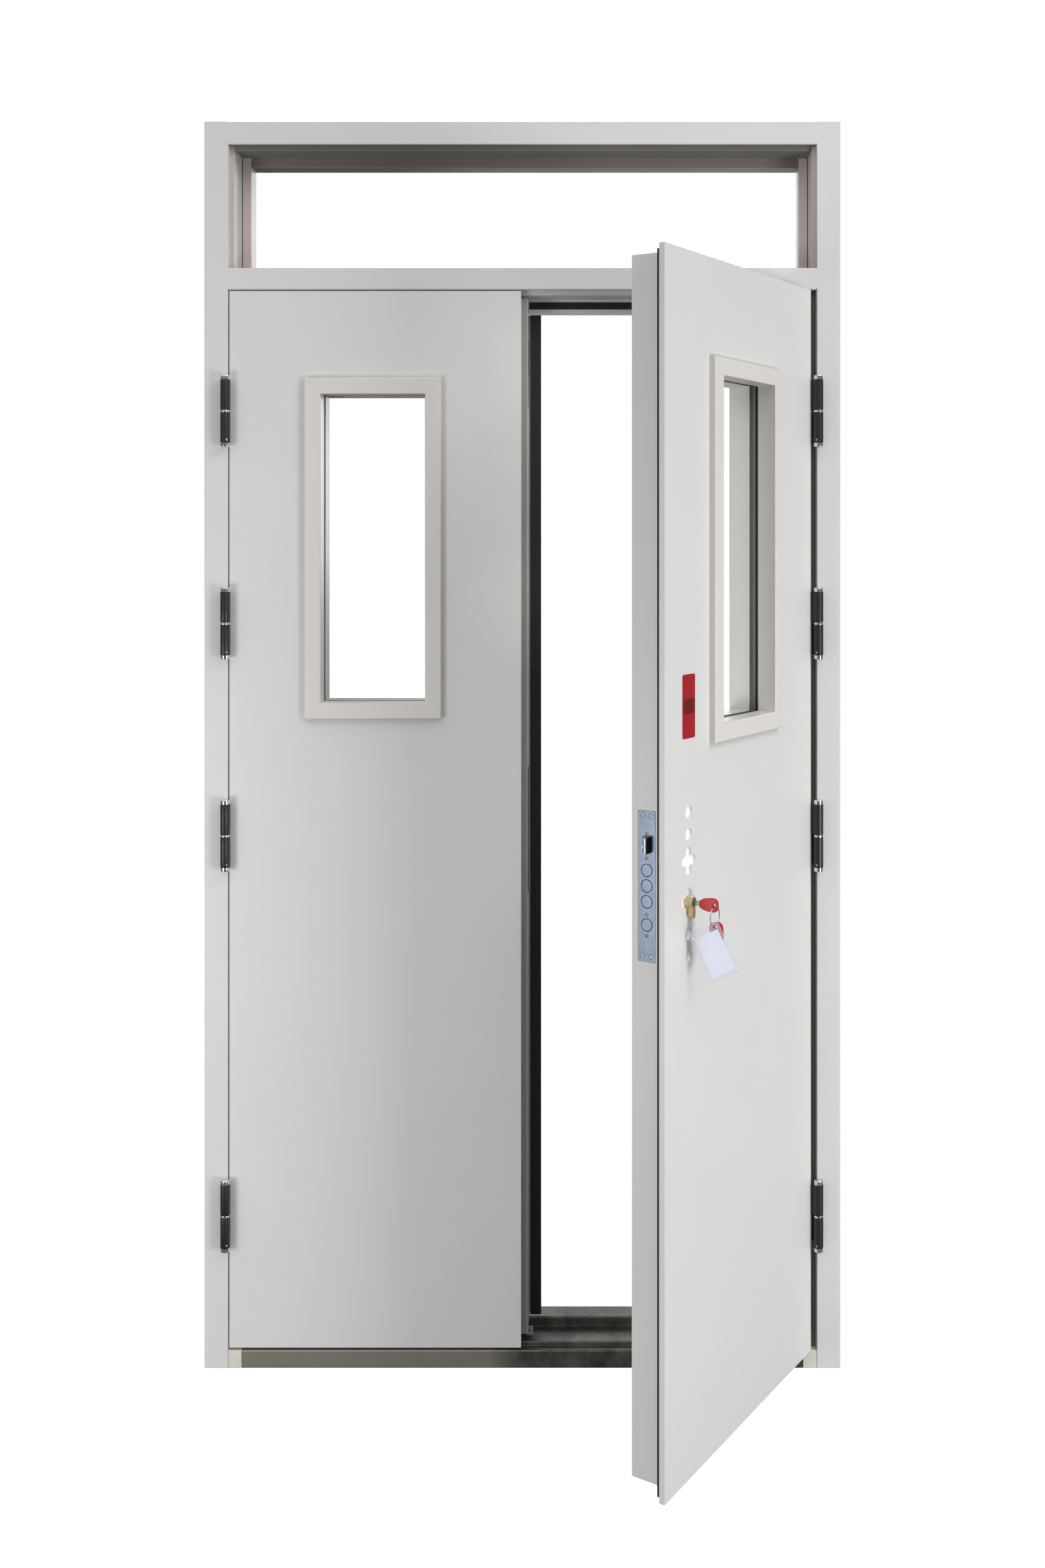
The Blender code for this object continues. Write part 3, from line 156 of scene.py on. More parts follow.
@dataclass(frozen=True)
class Finish:
    """A plain coloured surface; each real finish adds its own detail."""

    name: str
    colour: str
    roughness: float = 0.5
    metallic: float = 0.0

    def start(self) -> tuple[Material, NodeTree, Node]:
        """Makes the material and its Principled shader.

        Returns:
            The material, its node tree and the shader node.
        """
        material = bpy.data.materials.new(self.name)
        material.use_nodes = True
        tree = material.node_tree
        shader = tree.nodes["Principled BSDF"]
        shader.inputs["Base Color"].default_value = to_linear(self.colour)
        shader.inputs["Roughness"].default_value = self.roughness
        shader.inputs["Metallic"].default_value = self.metallic
        material.diffuse_color = to_linear(self.colour)
        return material, tree, shader

    def lay(
        self,
        tree: NodeTree,
        layers: Sequence[tuple[NodeSocket, str]] = (),
        gloss: tuple[NodeSocket, float] | None = None,
        relief: tuple[NodeSocket, float, float] | None = None,
        ground: str = "",
    ) -> None:
        """Lays colours over each other and lets patterns change the gloss and the relief.

        Args:
            tree: The material's node tree.
            layers: Each colour that lies over the ground, after the pattern that says where.
            gloss: A pattern, and how far the roughness swings with it either way.
            relief: A pattern, its height and how strongly it shows.
            ground: The colour under the layers, if it isn't the finish's own.
        """
        shader = tree.nodes["Principled BSDF"]
        tone = to_linear(ground or self.colour)
        for share, colour in layers:
            tone = add_node(
                tree,
                "ShaderNodeMix",
                {"data_type": "RGBA"},
                {"Factor": share, "A": tone, "B": to_linear(colour)},
            ).outputs["Result"]
        if layers:
            tree.links.new(tone, shader.inputs["Base Color"])
        if gloss:
            pattern, swing = gloss
            roughness = add_node(
                tree,
                "ShaderNodeMapRange",
                inputs={
                    "Value": pattern,
                    "To Min": max(self.roughness - swing, SMOOTHEST),
                    "To Max": self.roughness + swing,
                },
            )
            tree.links.new(roughness.outputs["Result"], shader.inputs["Roughness"])
        if relief:
            pattern, height, strength = relief
            bump = add_node(
                tree,
                "ShaderNodeBump",
                inputs={"Height": pattern, "Distance": height, "Strength": strength},
            )
            tree.links.new(bump.outputs["Normal"], shader.inputs["Normal"])

    def build(self) -> Material:
        """Returns the finished material."""
        return self.start()[0]


@dataclass(frozen=True)
class PowderCoat(Finish):
    """Polyester powder baked on steel: satin, with a fine orange peel and faint cloudiness."""

    shade: str = "C0BFBD"
    cloud: float = 220 * MM
    gloss_swing: float = 0.05
    peel_height: float = 0.05 * MM

    def build(self) -> Material:
        """Lays the clouds and the peel, which is drawn coarser than the real 1 mm to show.

        Returns:
            Satin coat.
        """
        material, tree, _ = self.start()
        place = add_node(tree, "ShaderNodeTexCoord").outputs["Object"]
        cloud = add_node(
            tree,
            "ShaderNodeTexNoise",
            inputs={"Vector": place, "Scale": 1 / self.cloud, "Detail": 3.0},
        ).outputs["Fac"]
        peel = add_node(
            tree,
            "ShaderNodeTexNoise",
            inputs={"Vector": place, "Scale": 1 / PEEL_SIZE, "Detail": 1.0},
        ).outputs["Fac"]
        self.lay(
            tree,
            layers=[(cloud, self.shade)],
            gloss=(cloud, self.gloss_swing),
            relief=(peel, self.peel_height, PEEL_STRENGTH),
        )
        return material


@dataclass(frozen=True)
class RebateCoat(PowderCoat):
    """Powder coat with painted shade below the rail, where the open leaf keeps the light off the
    jamb's rebate.
    """

    # The painted shade of the rebate below the line.
    primer: str = "726D65"
    line: float = 2040 * MM

    def build(self) -> Material:
        """Mixes the painted shade in below the line.

        Returns:
            Satin coat above and painted shade below.
        """
        material = super().build()
        tree = material.node_tree
        shader = tree.nodes["Principled BSDF"]
        coat = shader.inputs["Base Color"].links[0].from_socket
        place = add_node(tree, "ShaderNodeTexCoord").outputs["Object"]
        height = add_node(tree, "ShaderNodeSeparateXYZ", inputs={"Vector": place})
        above = add_node(
            tree,
            "ShaderNodeMath",
            {"operation": "GREATER_THAN"},
            {0: height.outputs["Z"], 1: self.line},
        )
        tone = add_node(
            tree,
            "ShaderNodeMix",
            {"data_type": "RGBA"},
            {"Factor": above.outputs[0], "A": to_linear(self.primer), "B": coat},
        )
        tree.links.new(tone.outputs["Result"], shader.inputs["Base Color"])
        return material


@dataclass(frozen=True)
class WindowFinish(Finish):
    """A finish that knows where its leaf's window is."""

    centre: Span = (0.0, 0.0)
    turn: float = 0.0
    half_width: float = 98 * MM
    half_height: float = 290 * MM

    def leaf_axes(self, tree: NodeTree) -> list[NodeSocket]:
        """Turns the surface's place back to the shut leaf, where the window is square.

        Args:
            tree: The material's node tree.

        Returns:
            The place along the leaf, through it and up it.
        """
        place = add_node(tree, "ShaderNodeTexCoord").outputs["Object"]
        turned = add_node(
            tree,
            "ShaderNodeVectorRotate",
            {"rotation_type": "Z_AXIS"},
            {"Vector": place, "Center": (AXIS_X, AXIS_Y, 0), "Angle": -self.turn},
        )
        parts = add_node(tree, "ShaderNodeSeparateXYZ", inputs={"Vector": turned.outputs["Vector"]})
        return [parts.outputs[name] for name in ("X", "Y", "Z")]

    def beyond(self, tree: NodeTree, axis: int) -> NodeSocket:
        """Measures how far a point lies outside the window along one axis.

        Args:
            tree: The material's node tree.
            axis: 0 across the leaf or 2 up it.

        Returns:
            The distance, negative inside.
        """
        middle, half = (
            (self.centre[0], self.half_width) if axis == 0 else (self.centre[1], self.half_height)
        )
        offset = add_node(
            tree,
            "ShaderNodeMath",
            {"operation": "SUBTRACT"},
            {0: self.leaf_axes(tree)[axis], 1: middle},
        )
        size = add_node(tree, "ShaderNodeMath", {"operation": "ABSOLUTE"}, {0: offset.outputs[0]})
        return add_node(
            tree, "ShaderNodeMath", {"operation": "SUBTRACT"}, {0: size.outputs[0], 1: half}
        ).outputs[0]


@dataclass(frozen=True)
class BeadCoat(WindowFinish):
    """Powder coat on a glazing bead, with the hairline of its mitred corners."""

    seam: float = 0.7 * MM
    seam_depth: float = 0.15
    seam_colour: str = "8E8882"
    peel_height: float = 0.05 * MM

    def build(self) -> Material:
        """Mixes the seam's colour in along both diagonals.

        Returns:
            Warm satin coat with a faint line where the lengths meet at each corner.
        """
        material, tree, _ = self.start()
        apart = add_node(
            tree,
            "ShaderNodeMath",
            {"operation": "SUBTRACT"},
            {0: self.beyond(tree, 0), 1: self.beyond(tree, 2)},
        )
        width = add_node(tree, "ShaderNodeMath", {"operation": "ABSOLUTE"}, {0: apart.outputs[0]})
        line = add_node(
            tree,
            "ShaderNodeMapRange",
            inputs={
                "Value": width.outputs[0],
                "From Min": self.seam / 2,
                "From Max": self.seam,
                "To Min": self.seam_depth,
                "To Max": 0.0,
            },
        )
        place = add_node(tree, "ShaderNodeTexCoord").outputs["Object"]
        peel = add_node(
            tree,
            "ShaderNodeTexNoise",
            inputs={"Vector": place, "Scale": 1 / PEEL_SIZE, "Detail": 1.0},
        )
        self.lay(
            tree,
            layers=[(line.outputs["Result"], self.seam_colour)],
            relief=(peel.outputs["Fac"], self.peel_height, PEEL_STRENGTH),
        )
        return material


@dataclass(frozen=True)
class CoreBoard(WindowFinish):
    """Pressed magnesium oxide board: chalky white, and shaded grey where it edges the glass."""

    edge_colour: str = "7E7C78"
    edge_reach: float = 14 * MM
    edge_fade: float = 1 * MM
    grain: float = 2.5 * MM
    grain_height: float = 0.2 * MM
    grain_strength: float = 0.6

    def build(self) -> Material:
        """Mixes the grey in along the window's cut and lays the board's grit over all.

        Returns:
            Matt board with a fine grit.
        """
        material, tree, _ = self.start()
        outer = add_node(
            tree,
            "ShaderNodeMath",
            {"operation": "MAXIMUM"},
            {0: self.beyond(tree, 0), 1: self.beyond(tree, 2)},
        )
        rim = add_node(
            tree,
            "ShaderNodeMapRange",
            inputs={
                "Value": outer.outputs[0],
                "From Min": self.edge_reach,
                "From Max": self.edge_reach + self.edge_fade,
            },
        )
        place = add_node(tree, "ShaderNodeTexCoord").outputs["Object"]
        grit = add_node(
            tree,
            "ShaderNodeTexNoise",
            inputs={"Vector": place, "Scale": 1 / self.grain, "Detail": 4.0},
        )
        self.lay(
            tree,
            layers=[(rim.outputs["Result"], self.colour)],
            relief=(grit.outputs["Fac"], self.grain_height, self.grain_strength),
            ground=self.edge_colour,
        )
        return material


@dataclass(frozen=True)
class WornSteel(Finish):
    """Hot-rolled steel with mill scale: dark, uneven and rubbed bright along its folds, with
    painted light making it paler on the left.
    """

    light: str = "5E5D57"
    lee: str = "8C897C"
    scuff: str = "8E8B80"
    blotch: float = 60 * MM
    grain: float = 1.6 * MM
    folds: tuple[Span, ...] = ((FRONT, 34 * MM), (7 * MM, 42 * MM), (65 * MM, 60 * MM))
    fold_reach: float = 2.6 * MM
    scratch: float = 22 * MM
    scratch_drawn: Point = (1.0, 8.0, 8.0)
    scratch_range: Span = (0.45, 0.62)
    blotch_range: Span = (0.38, 0.72)
    # Painted light: left of this end the sill is paler, and toward the doorway it stays dark as the
    # open leaf's shade.
    lee_end: float = 5 * MM
    lee_fade: float = 70 * MM
    lee_share: float = 0.85
    gloss_swing: float = 0.12
    scale_height: float = 0.08 * MM
    scale_strength: float = 0.5

    def rubbed(self, tree: NodeTree, place: NodeSocket) -> NodeSocket:
        """Finds where feet have rubbed the folds.

        Args:
            tree: The material's node tree.
            place: The surface's object coordinates.

        Returns:
            1 on a rubbed spot and 0 elsewhere.
        """
        flat = add_node(tree, "ShaderNodeVectorMath", {"operation": "MULTIPLY"}, {0: place})
        flat.inputs[1].default_value = (0, 1, 1)
        near = None
        for fold in self.folds:
            away = add_node(
                tree,
                "ShaderNodeVectorMath",
                {"operation": "DISTANCE"},
                {0: flat.outputs["Vector"], 1: (0, *fold)},
            )
            if near is not None:
                away = add_node(
                    tree,
                    "ShaderNodeMath",
                    {"operation": "MINIMUM"},
                    {0: away.outputs["Value"], 1: near},
                )
            near = away.outputs["Value"]
        close = add_node(
            tree,
            "ShaderNodeMapRange",
            inputs={
                "Value": near,
                "From Min": self.fold_reach / 3,
                "From Max": self.fold_reach,
                "To Min": 1.0,
                "To Max": 0.0,
            },
        )
        stretched = add_node(
            tree, "ShaderNodeMapping", inputs={"Vector": place, "Scale": self.scratch_drawn}
        )
        scratches = add_node(
            tree,
            "ShaderNodeTexNoise",
            inputs={
                "Vector": stretched.outputs["Vector"],
                "Scale": 1 / self.scratch,
                "Detail": 6.0,
                "Roughness": 0.75,
            },
        )
        least, most = self.scratch_range
        spots = add_node(
            tree,
            "ShaderNodeMapRange",
            inputs={"Value": scratches.outputs["Fac"], "From Min": least, "From Max": most},
        )
        return add_node(
            tree,
            "ShaderNodeMath",
            {"operation": "MULTIPLY"},
            {0: close.outputs["Result"], 1: spots.outputs["Result"]},
        ).outputs[0]

    def build(self) -> Material:
        """Lays blotches, the paler left half of painted light and the rubbed folds over each other.

        Returns:
            Dark steel whose blotches and grit change its colour and gloss.
        """
        material, tree, _ = self.start()
        place = add_node(tree, "ShaderNodeTexCoord").outputs["Object"]
        blotch = add_node(
            tree,
            "ShaderNodeTexNoise",
            inputs={"Vector": place, "Scale": 1 / self.blotch, "Detail": 8.0, "Roughness": 0.68},
        )
        grain = add_node(
            tree,
            "ShaderNodeTexNoise",
            inputs={"Vector": place, "Scale": 1 / self.grain, "Detail": 2.0},
        ).outputs["Fac"]
        least, most = self.blotch_range
        amount = add_node(
            tree,
            "ShaderNodeMapRange",
            inputs={"Value": blotch.outputs["Fac"], "From Min": least, "From Max": most},
        )
        along = add_node(tree, "ShaderNodeSeparateXYZ", inputs={"Vector": place})
        # Painted light and shade: paler on the left, dark toward the doorway under the open leaf.
        painted_light = add_node(
            tree,
            "ShaderNodeMapRange",
            inputs={
                "Value": along.outputs["X"],
                "From Min": self.lee_end - self.lee_fade,
                "From Max": self.lee_end,
                "To Min": self.lee_share,
                "To Max": 0.0,
            },
        )
        self.lay(
            tree,
            layers=[
                (amount.outputs["Result"], self.light),
                (painted_light.outputs["Result"], self.lee),
                (self.rubbed(tree, place), self.scuff),
            ],
            gloss=(grain, self.gloss_swing),
            relief=(grain, self.scale_height, self.scale_strength),
        )
        return material


@dataclass(frozen=True)
class GrainedSurface(Finish):
    """Moulded, cast or plated surface with one fine grain in colour, gloss and relief."""

    shade: str = "000000"
    grain: float = 1.0 * MM
    stretch: Point = (1.0, 1.0, 1.0)
    relief: float = 0.03 * MM
    relief_strength: float = 0.5
    gloss_swing: float = 0.08
    coat: float = 0.0

    def build(self) -> Material:
        """Lays the grain, stretched as the surface's making left it.

        Returns:
            The grained surface, under a clear coat if it has one.
        """
        material, tree, shader = self.start()
        place = add_node(tree, "ShaderNodeTexCoord").outputs["Object"]
        mapped = add_node(
            tree, "ShaderNodeMapping", inputs={"Vector": place, "Scale": self.stretch}
        )
        grain = add_node(
            tree,
            "ShaderNodeTexNoise",
            inputs={"Vector": mapped.outputs["Vector"], "Scale": 1 / self.grain, "Detail": 3.0},
        ).outputs["Fac"]
        self.lay(
            tree,
            layers=[(grain, self.shade)],
            gloss=(grain, self.gloss_swing),
            relief=(grain, self.relief, self.relief_strength),
        )
        shader.inputs["Coat Weight"].default_value = self.coat
        return material


@dataclass(frozen=True)
class ClearSheet(Finish):
    """Glass or clear vinyl: what lies behind shows straight through, with a reflection on top."""

    alpha: float = 0.12
    ripple: float = 90 * MM
    relief: float = 0.1 * MM
    relief_strength: float = 0.3

    def build(self) -> Material:
        """Lays a slow ripple over a see-through surface.

        Returns:
            A thin clear sheet whose reflection wavers.
        """
        material, tree, shader = self.start()
        shader.inputs["Alpha"].default_value = self.alpha
        place = add_node(tree, "ShaderNodeTexCoord").outputs["Object"]
        ripple = add_node(
            tree,
            "ShaderNodeTexNoise",
            inputs={"Vector": place, "Scale": 1 / self.ripple, "Detail": 1.0},
        )
        self.lay(tree, relief=(ripple.outputs["Fac"], self.relief, self.relief_strength))
        return material


def deselect() -> None:
    """Leaves nothing selected, because an operator acts on all that is."""
    if bpy.context.object and bpy.context.object.mode != "OBJECT":
        bpy.ops.object.mode_set(mode="OBJECT")
    bpy.ops.object.select_all(action="DESELECT")


def activate(piece: Object) -> None:
    """Selects one piece alone and makes it active.

    Args:
        piece: The piece.
    """
    deselect()
    piece.select_set(True)
    bpy.context.view_layer.objects.active = piece


def apply_place(piece: Object) -> Object:
    """Moves a piece's place, turn and scale into its mesh.

    Args:
        piece: The piece.

    Returns:
        The same piece.
    """
    activate(piece)
    bpy.ops.object.transform_apply(location=True, rotation=True, scale=True)
    return piece


def merged_copy(node: Object, name: str) -> Object:
    """Copies a solid of the construction as one connected mesh.

    Args:
        node: The solid, whose own mesh is left alone.
        name: The new piece's name.

    Returns:
        The copy, with its flat faces joined.
    """
    piece = bpy.data.objects.new(name, node.data.copy())
    bpy.context.scene.collection.objects.link(piece)
    piece.data.materials.clear()
    activate(piece)
    bpy.ops.object.mode_set(mode="EDIT")
    bpy.ops.mesh.select_all(action="SELECT")
    bpy.ops.mesh.remove_doubles(threshold=MERGE_REACH)
    bpy.ops.mesh.dissolve_limited(angle_limit=FLAT_ANGLE)
    bpy.ops.object.mode_set(mode="OBJECT")
    if piece.data.has_custom_normals:
        bpy.ops.mesh.customdata_custom_splitnormals_clear()
    return piece


def round_edges(piece: Object, width: float, segments: int = 2, angle: float = 50) -> Object:
    """Rounds a piece's sharp edges with an applied Bevel.

    Args:
        piece: The piece to round.
        width: The bevel's width.
        segments: Steps across the rounding.
        angle: Edges sharper than this many degrees are rounded.

    Returns:
        The same piece.
    """
    activate(piece)
    bevel = piece.modifiers.new("rounded", "BEVEL")
    bevel.width = width
    bevel.segments = segments
    bevel.limit_method = "ANGLE"
    bevel.angle_limit = math.radians(angle)
    bevel.use_clamp_overlap = True
    bevel.miter_outer = "MITER_ARC"
    bpy.ops.object.modifier_apply(modifier=bevel.name)
    shade(piece)
    return piece


def shade(piece: Object, angle: float = 35) -> Object:
    """Shades a piece smooth up to an angle, with the flats kept flat.

    Args:
        piece: The piece.
        angle: Folds gentler than this many degrees are smooth.

    Returns:
        The same piece.
    """
    activate(piece)
    bpy.ops.object.shade_smooth_by_angle(angle=math.radians(angle))
    flats = piece.modifiers.new("flats", "WEIGHTED_NORMAL")
    flats.keep_sharp = True
    flats.weight = 90
    bpy.ops.object.modifier_apply(modifier=flats.name)
    return piece


def select_faces(piece: Object, wanted: FaceTest) -> None:
    """Goes into edit mode with just some faces selected.

    Args:
        piece: The piece to edit.
        wanted: Says yes or no from a face's centre and normal.
    """
    activate(piece)
    bpy.ops.object.mode_set(mode="EDIT")
    bpy.ops.mesh.select_mode(type="FACE")
    bpy.ops.mesh.select_all(action="DESELECT")
    mesh = bmesh.from_edit_mesh(piece.data)
    for face in mesh.faces:
        face.select_set(wanted(face.calc_center_median(), face.normal))
    bmesh.update_edit_mesh(piece.data)


def round_corners(block: Object, axis: int, length: float, reach: float, segments: int) -> None:
    """Rounds the corners of a block whose edges run along one axis.

    Args:
        block: The block.
        axis: 0, 1 or 2 for X, Y or Z.
        length: The block's size along that axis.
        reach: How far the rounding reaches from each corner.
        segments: Steps across it.
    """
    activate(block)
    bpy.ops.object.mode_set(mode="EDIT")
    bpy.ops.mesh.select_mode(type="EDGE")
    bpy.ops.mesh.select_all(action="DESELECT")
    mesh = bmesh.from_edit_mesh(block.data)
    for edge in mesh.edges:
        run = edge.verts[0].co - edge.verts[1].co
        edge.select_set(abs(run[axis]) > ALONG * length)
    bmesh.update_edit_mesh(block.data)
    bpy.ops.mesh.bevel(offset=reach, segments=segments, affect="EDGES")
    bpy.ops.object.mode_set(mode="OBJECT")


def box(name: str, low: Point, high: Point) -> Object:
    """Adds a cube primitive between two corners.

    Args:
        name: The piece's name.
        low: Its lowest corner.
        high: Its highest corner.

    Returns:
        The piece, with its place in its mesh.
    """
    deselect()
    near, far = Vector(low), Vector(high)
    bpy.ops.mesh.primitive_cube_add(size=1, location=(near + far) / 2)
    piece = bpy.context.object
    piece.name = piece.data.name = name
    piece.scale = far - near
    return apply_place(piece)


def drum(
    name: str, radius: float, depth: float, centre: Point, along: str = "Z", sides: int = 48
) -> Object:
    """Adds a cylinder primitive.

    Args:
        name: The piece's name.
        radius: Its radius.
        depth: Its length.
        centre: Its middle.
        along: The world axis that it lies along.
        sides: Facets round it.

    Returns:
        The piece, with its place in its mesh.
    """
    deselect()
    turns = {"X": (0, math.pi / 2, 0), "Y": (math.pi / 2, 0, 0), "Z": (0, 0, 0)}
    bpy.ops.mesh.primitive_cylinder_add(
        vertices=sides, radius=radius, depth=depth, location=centre, rotation=turns[along]
    )
    piece = bpy.context.object
    piece.name = piece.data.name = name
    return apply_place(piece)


def cut(piece: Object, tool: Object) -> Object:
    """Takes a tool's shape out of a piece, and deletes the tool.

    Args:
        piece: The piece that is cut.
        tool: The closed shape to take out.

    Returns:
        The cut piece.
    """
    step = piece.modifiers.new("cut", "BOOLEAN")
    step.operation = "DIFFERENCE"
    step.solver = "EXACT"
    step.object = tool
    activate(piece)
    bpy.ops.object.modifier_apply(modifier=step.name)
    bpy.data.objects.remove(tool, do_unlink=True)
    return piece


def join(name: str, pieces: Iterable[Object]) -> Object:
    """Joins pieces into one object.

    Args:
        name: The joined piece's name.
        pieces: The pieces, the first of which stays.

    Returns:
        The joined piece.
    """
    pieces = list(pieces)
    activate(pieces[0])
    for piece in pieces:
        piece.select_set(True)
    bpy.ops.object.join()
    joined = bpy.context.object
    joined.name = joined.data.name = name
    return joined


def copied(piece: Object, name: str, place: Matrix) -> Object:
    """Copies a piece with its own mesh, moved by a matrix.

    Args:
        piece: The pattern piece.
        name: The copy's name.
        place: Where the copy goes.

    Returns:
        The copy, with its place in its mesh.
    """
    twin = bpy.data.objects.new(name, piece.data.copy())
    bpy.context.scene.collection.objects.link(twin)
    twin.data.name = name
    twin.data.transform(place)
    return twin


def active_place() -> Matrix:
    """Gives the active leaf's turn from shut to where it stands.

    Returns:
        The turn about the hinge's axis.
    """
    axis = Vector((AXIS_X, AXIS_Y, 0))
    turn = Matrix.Rotation(REST_OPENING, 4, "Z")
    return Matrix.Translation(axis) @ turn @ Matrix.Translation(-axis)


@dataclass
class Palette:
    """Every finish of the door, each made once."""

    made: dict[str, Material] = field(default_factory=dict)

    def get(self, finish: Finish) -> Material:
        """Makes a finish's material the first time it is asked for.

        Args:
            finish: The finish.

        Returns:
            Its material.
        """
        if finish.name not in self.made:
            self.made[finish.name] = finish.build()
        return self.made[finish.name]


# Baked powder is satin: broad soft highlights, and a peel that only shows close by.
FRAME_COAT = PowderCoat("powder_coat_frame", "D9D7D7", 0.42, shade="D1CFCF")
LEAF_COAT = PowderCoat("powder_coat_leaf", "D9D9D8", 0.40, shade="D2D2D0")
# The rebate that the other leaf shuts over is drawn mid grey under the same satin.
REBATE_GREY = PowderCoat("mid_grey_rebate", "9D9B98", 0.5, shade="8F8D8A", cloud=40 * MM)
# Under the head the soffits are painted dark olive as shade, where light never falls.
HEAD_SOFFIT = PowderCoat("thin_coat_soffit", "777B70", 0.5, shade="6A6E63")
# On the head's stops the painted shade is a dark pinkish grey.
HEAD_STOP = PowderCoat("thin_coat_stop", "8D7F7F", 0.5, shade="807373")
# The jambs' stops are painted a little warmer and darker than the face as shade in the recess, and
# darker still below the rail as painted shade from the open leaf.
JAMB_STOP = RebateCoat("warm_coat_stop", "D8C8C2", 0.45, shade="CFBFB9")
# Thick brushed enamel has yellowed and lies in soft lumps.
BLOCK_COAT = PowderCoat("brushed_enamel_block", "DAD7CC", 0.5, shade="CBC7B8", cloud=12 * MM)
# The beads were coated apart from the leaves and came out a little warmer.
PASSIVE_BEAD_COAT = BeadCoat("powder_coat_bead_left", "D8D4D0", 0.42, centre=(-WINDOW_X, WINDOW_Z))
ACTIVE_BEAD_COAT = BeadCoat(
    "powder_coat_bead_right", "D8D4D0", 0.42, centre=(WINDOW_X, WINDOW_Z), turn=REST_OPENING
)
# Mill scale is nearly black, dull and patchy; scuffs show pale steel on the folds.
SILL_STEEL = WornSteel("hot_rolled_sill_steel", "2E2F2C", 0.48, 0.35)
# Rubber drinks the light, with a faint bloom.
DOOR_SEAL = GrainedSurface(
    "intumescent_rubber", "171718", 0.62, shade="0E0E0E", grain=1.2 * MM, relief=0.05 * MM
)
# Stoved enamel is blue-black with a low sheen and a speckle of dust.
BLACK_LACQUER = GrainedSurface(
    "black_stove_enamel", "15171A", 0.48, shade="0E0F11", grain=1.4 * MM, coat=0.1
)
# Chrome mirrors the studio, bright with a dark middle.
CHROME = GrainedSurface(
    "chrome_plate", "E4E6EA", 0.14, 1.0, shade="D0D4DA", grain=4 * MM, relief=0.01 * MM
)
# Clear zinc over rolled steel is bluish and faintly streaked along the rolling.
ZINC = GrainedSurface(
    "clear_zinc_plate",
    "7B8490",
    0.36,
    1.0,
    shade="636E7C",
    grain=3.2 * MM,
    stretch=(1.0, 1.0, 0.25),
)
# The latch tongue is the same steel rubbed bright by the strike.
LATCH_STEEL = GrainedSurface(
    "rubbed_latch_steel", "D3D7DD", 0.38, 0.7, shade="B4BAC3", grain=5 * MM, relief=0.02 * MM
)
# The guide's blue zinc is drawn pale and only a little metallic: painted light that keeps it bright
# in the leaf's shade.
GUIDE_ZINC = GrainedSurface("blue_zinc_guide", "B4C4D8", 0.5, 0.3, shade="9DAEC4")
# Screws dull in their sinks, so their crosses read dark on grey.
SCREW_STEEL = GrainedSurface(
    "dulled_zinc_screw", "A4ABB5", 0.42, 1.0, shade="7E8792", grain=1.2 * MM
)
# The latch's sliding face is smooth black plastic.
LATCH_BLACK = GrainedSurface("acetal_latch_face", "17181B", 0.35, shade="101114")
# Yellow passivation dulls the small rivets to a brownish grey.
RIVET = GrainedSurface("yellow_passivated_rivet", "8F8C80", 0.4, 0.9, shade="77705F")
# Drawn brass is satin, with fine lines along the cylinder.
BRASS = GrainedSurface(
    "satin_drawn_brass",
    "E2D0A8",
    0.40,
    0.75,
    shade="CDB88A",
    grain=1.5 * MM,
    stretch=(1.0, 0.15, 1.0),
)
# Nickel silver is a warm pale metal, polished by use.
KEY_STEEL = GrainedSurface("nickel_silver_blade", "C4BEA8", 0.28, 1.0, shade="A9A28C")
# Moulded ABS is a full red with a soft gloss.
KEY_PLASTIC = GrainedSurface(
    "moulded_red_abs", "C30A0E", 0.45, shade="AE080C", grain=1.0 * MM, relief=0.02 * MM
)
# Board is chalk white at the prepared holes.
PASSIVE_CORE = CoreBoard("magnesium_oxide_board_left", "F2F2F8", 0.85, centre=(-WINDOW_X, WINDOW_Z))
ACTIVE_CORE = CoreBoard(
    "magnesium_oxide_board_right", "F2F2F8", 0.85, centre=(WINDOW_X, WINDOW_Z), turn=REST_OPENING
)
# Laminated glass is all but clear, with a breath of green.
FIRE_GLASS = ClearSheet("laminated_fire_glass", "E6F2EE", 0.03, alpha=0.06)
# Vinyl is milky blue and ripples over what it holds.
POUCH = ClearSheet("clear_vinyl_pouch", "D6DAEA", 0.18, alpha=0.26, ripple=9 * MM, relief=0.4 * MM)
# Where the two sheets are welded the rim is thicker and more opaque; its paler colour is a painted
# highlight along the border.
POUCH_RIM = ClearSheet(
    "welded_vinyl_rim", "E6E8F4", 0.2, alpha=0.55, ripple=4 * MM, relief=0.4 * MM
)
# Uncoated card is matt white.
CARD = GrainedSurface("white_card", "F1F3FB", 0.6, shade="E8EBF7", grain=1.5 * MM)
# The snap studs are painted near-white to stand in for the glints at the pouch's corners.
GLINT_STUD = GrainedSurface("pearl_snap_stud", "F6F7FB", 0.22, shade="ECEEF6", coat=0.5)
# Printed vinyl has a hard gloss over flat ink.
LABEL_RED = GrainedSurface("red_printed_vinyl", "A81C22", 0.3, shade="9C171D", coat=0.4)
LABEL_DARK = GrainedSurface("maroon_printed_vinyl", "6E1519", 0.3, shade="641216", coat=0.4)


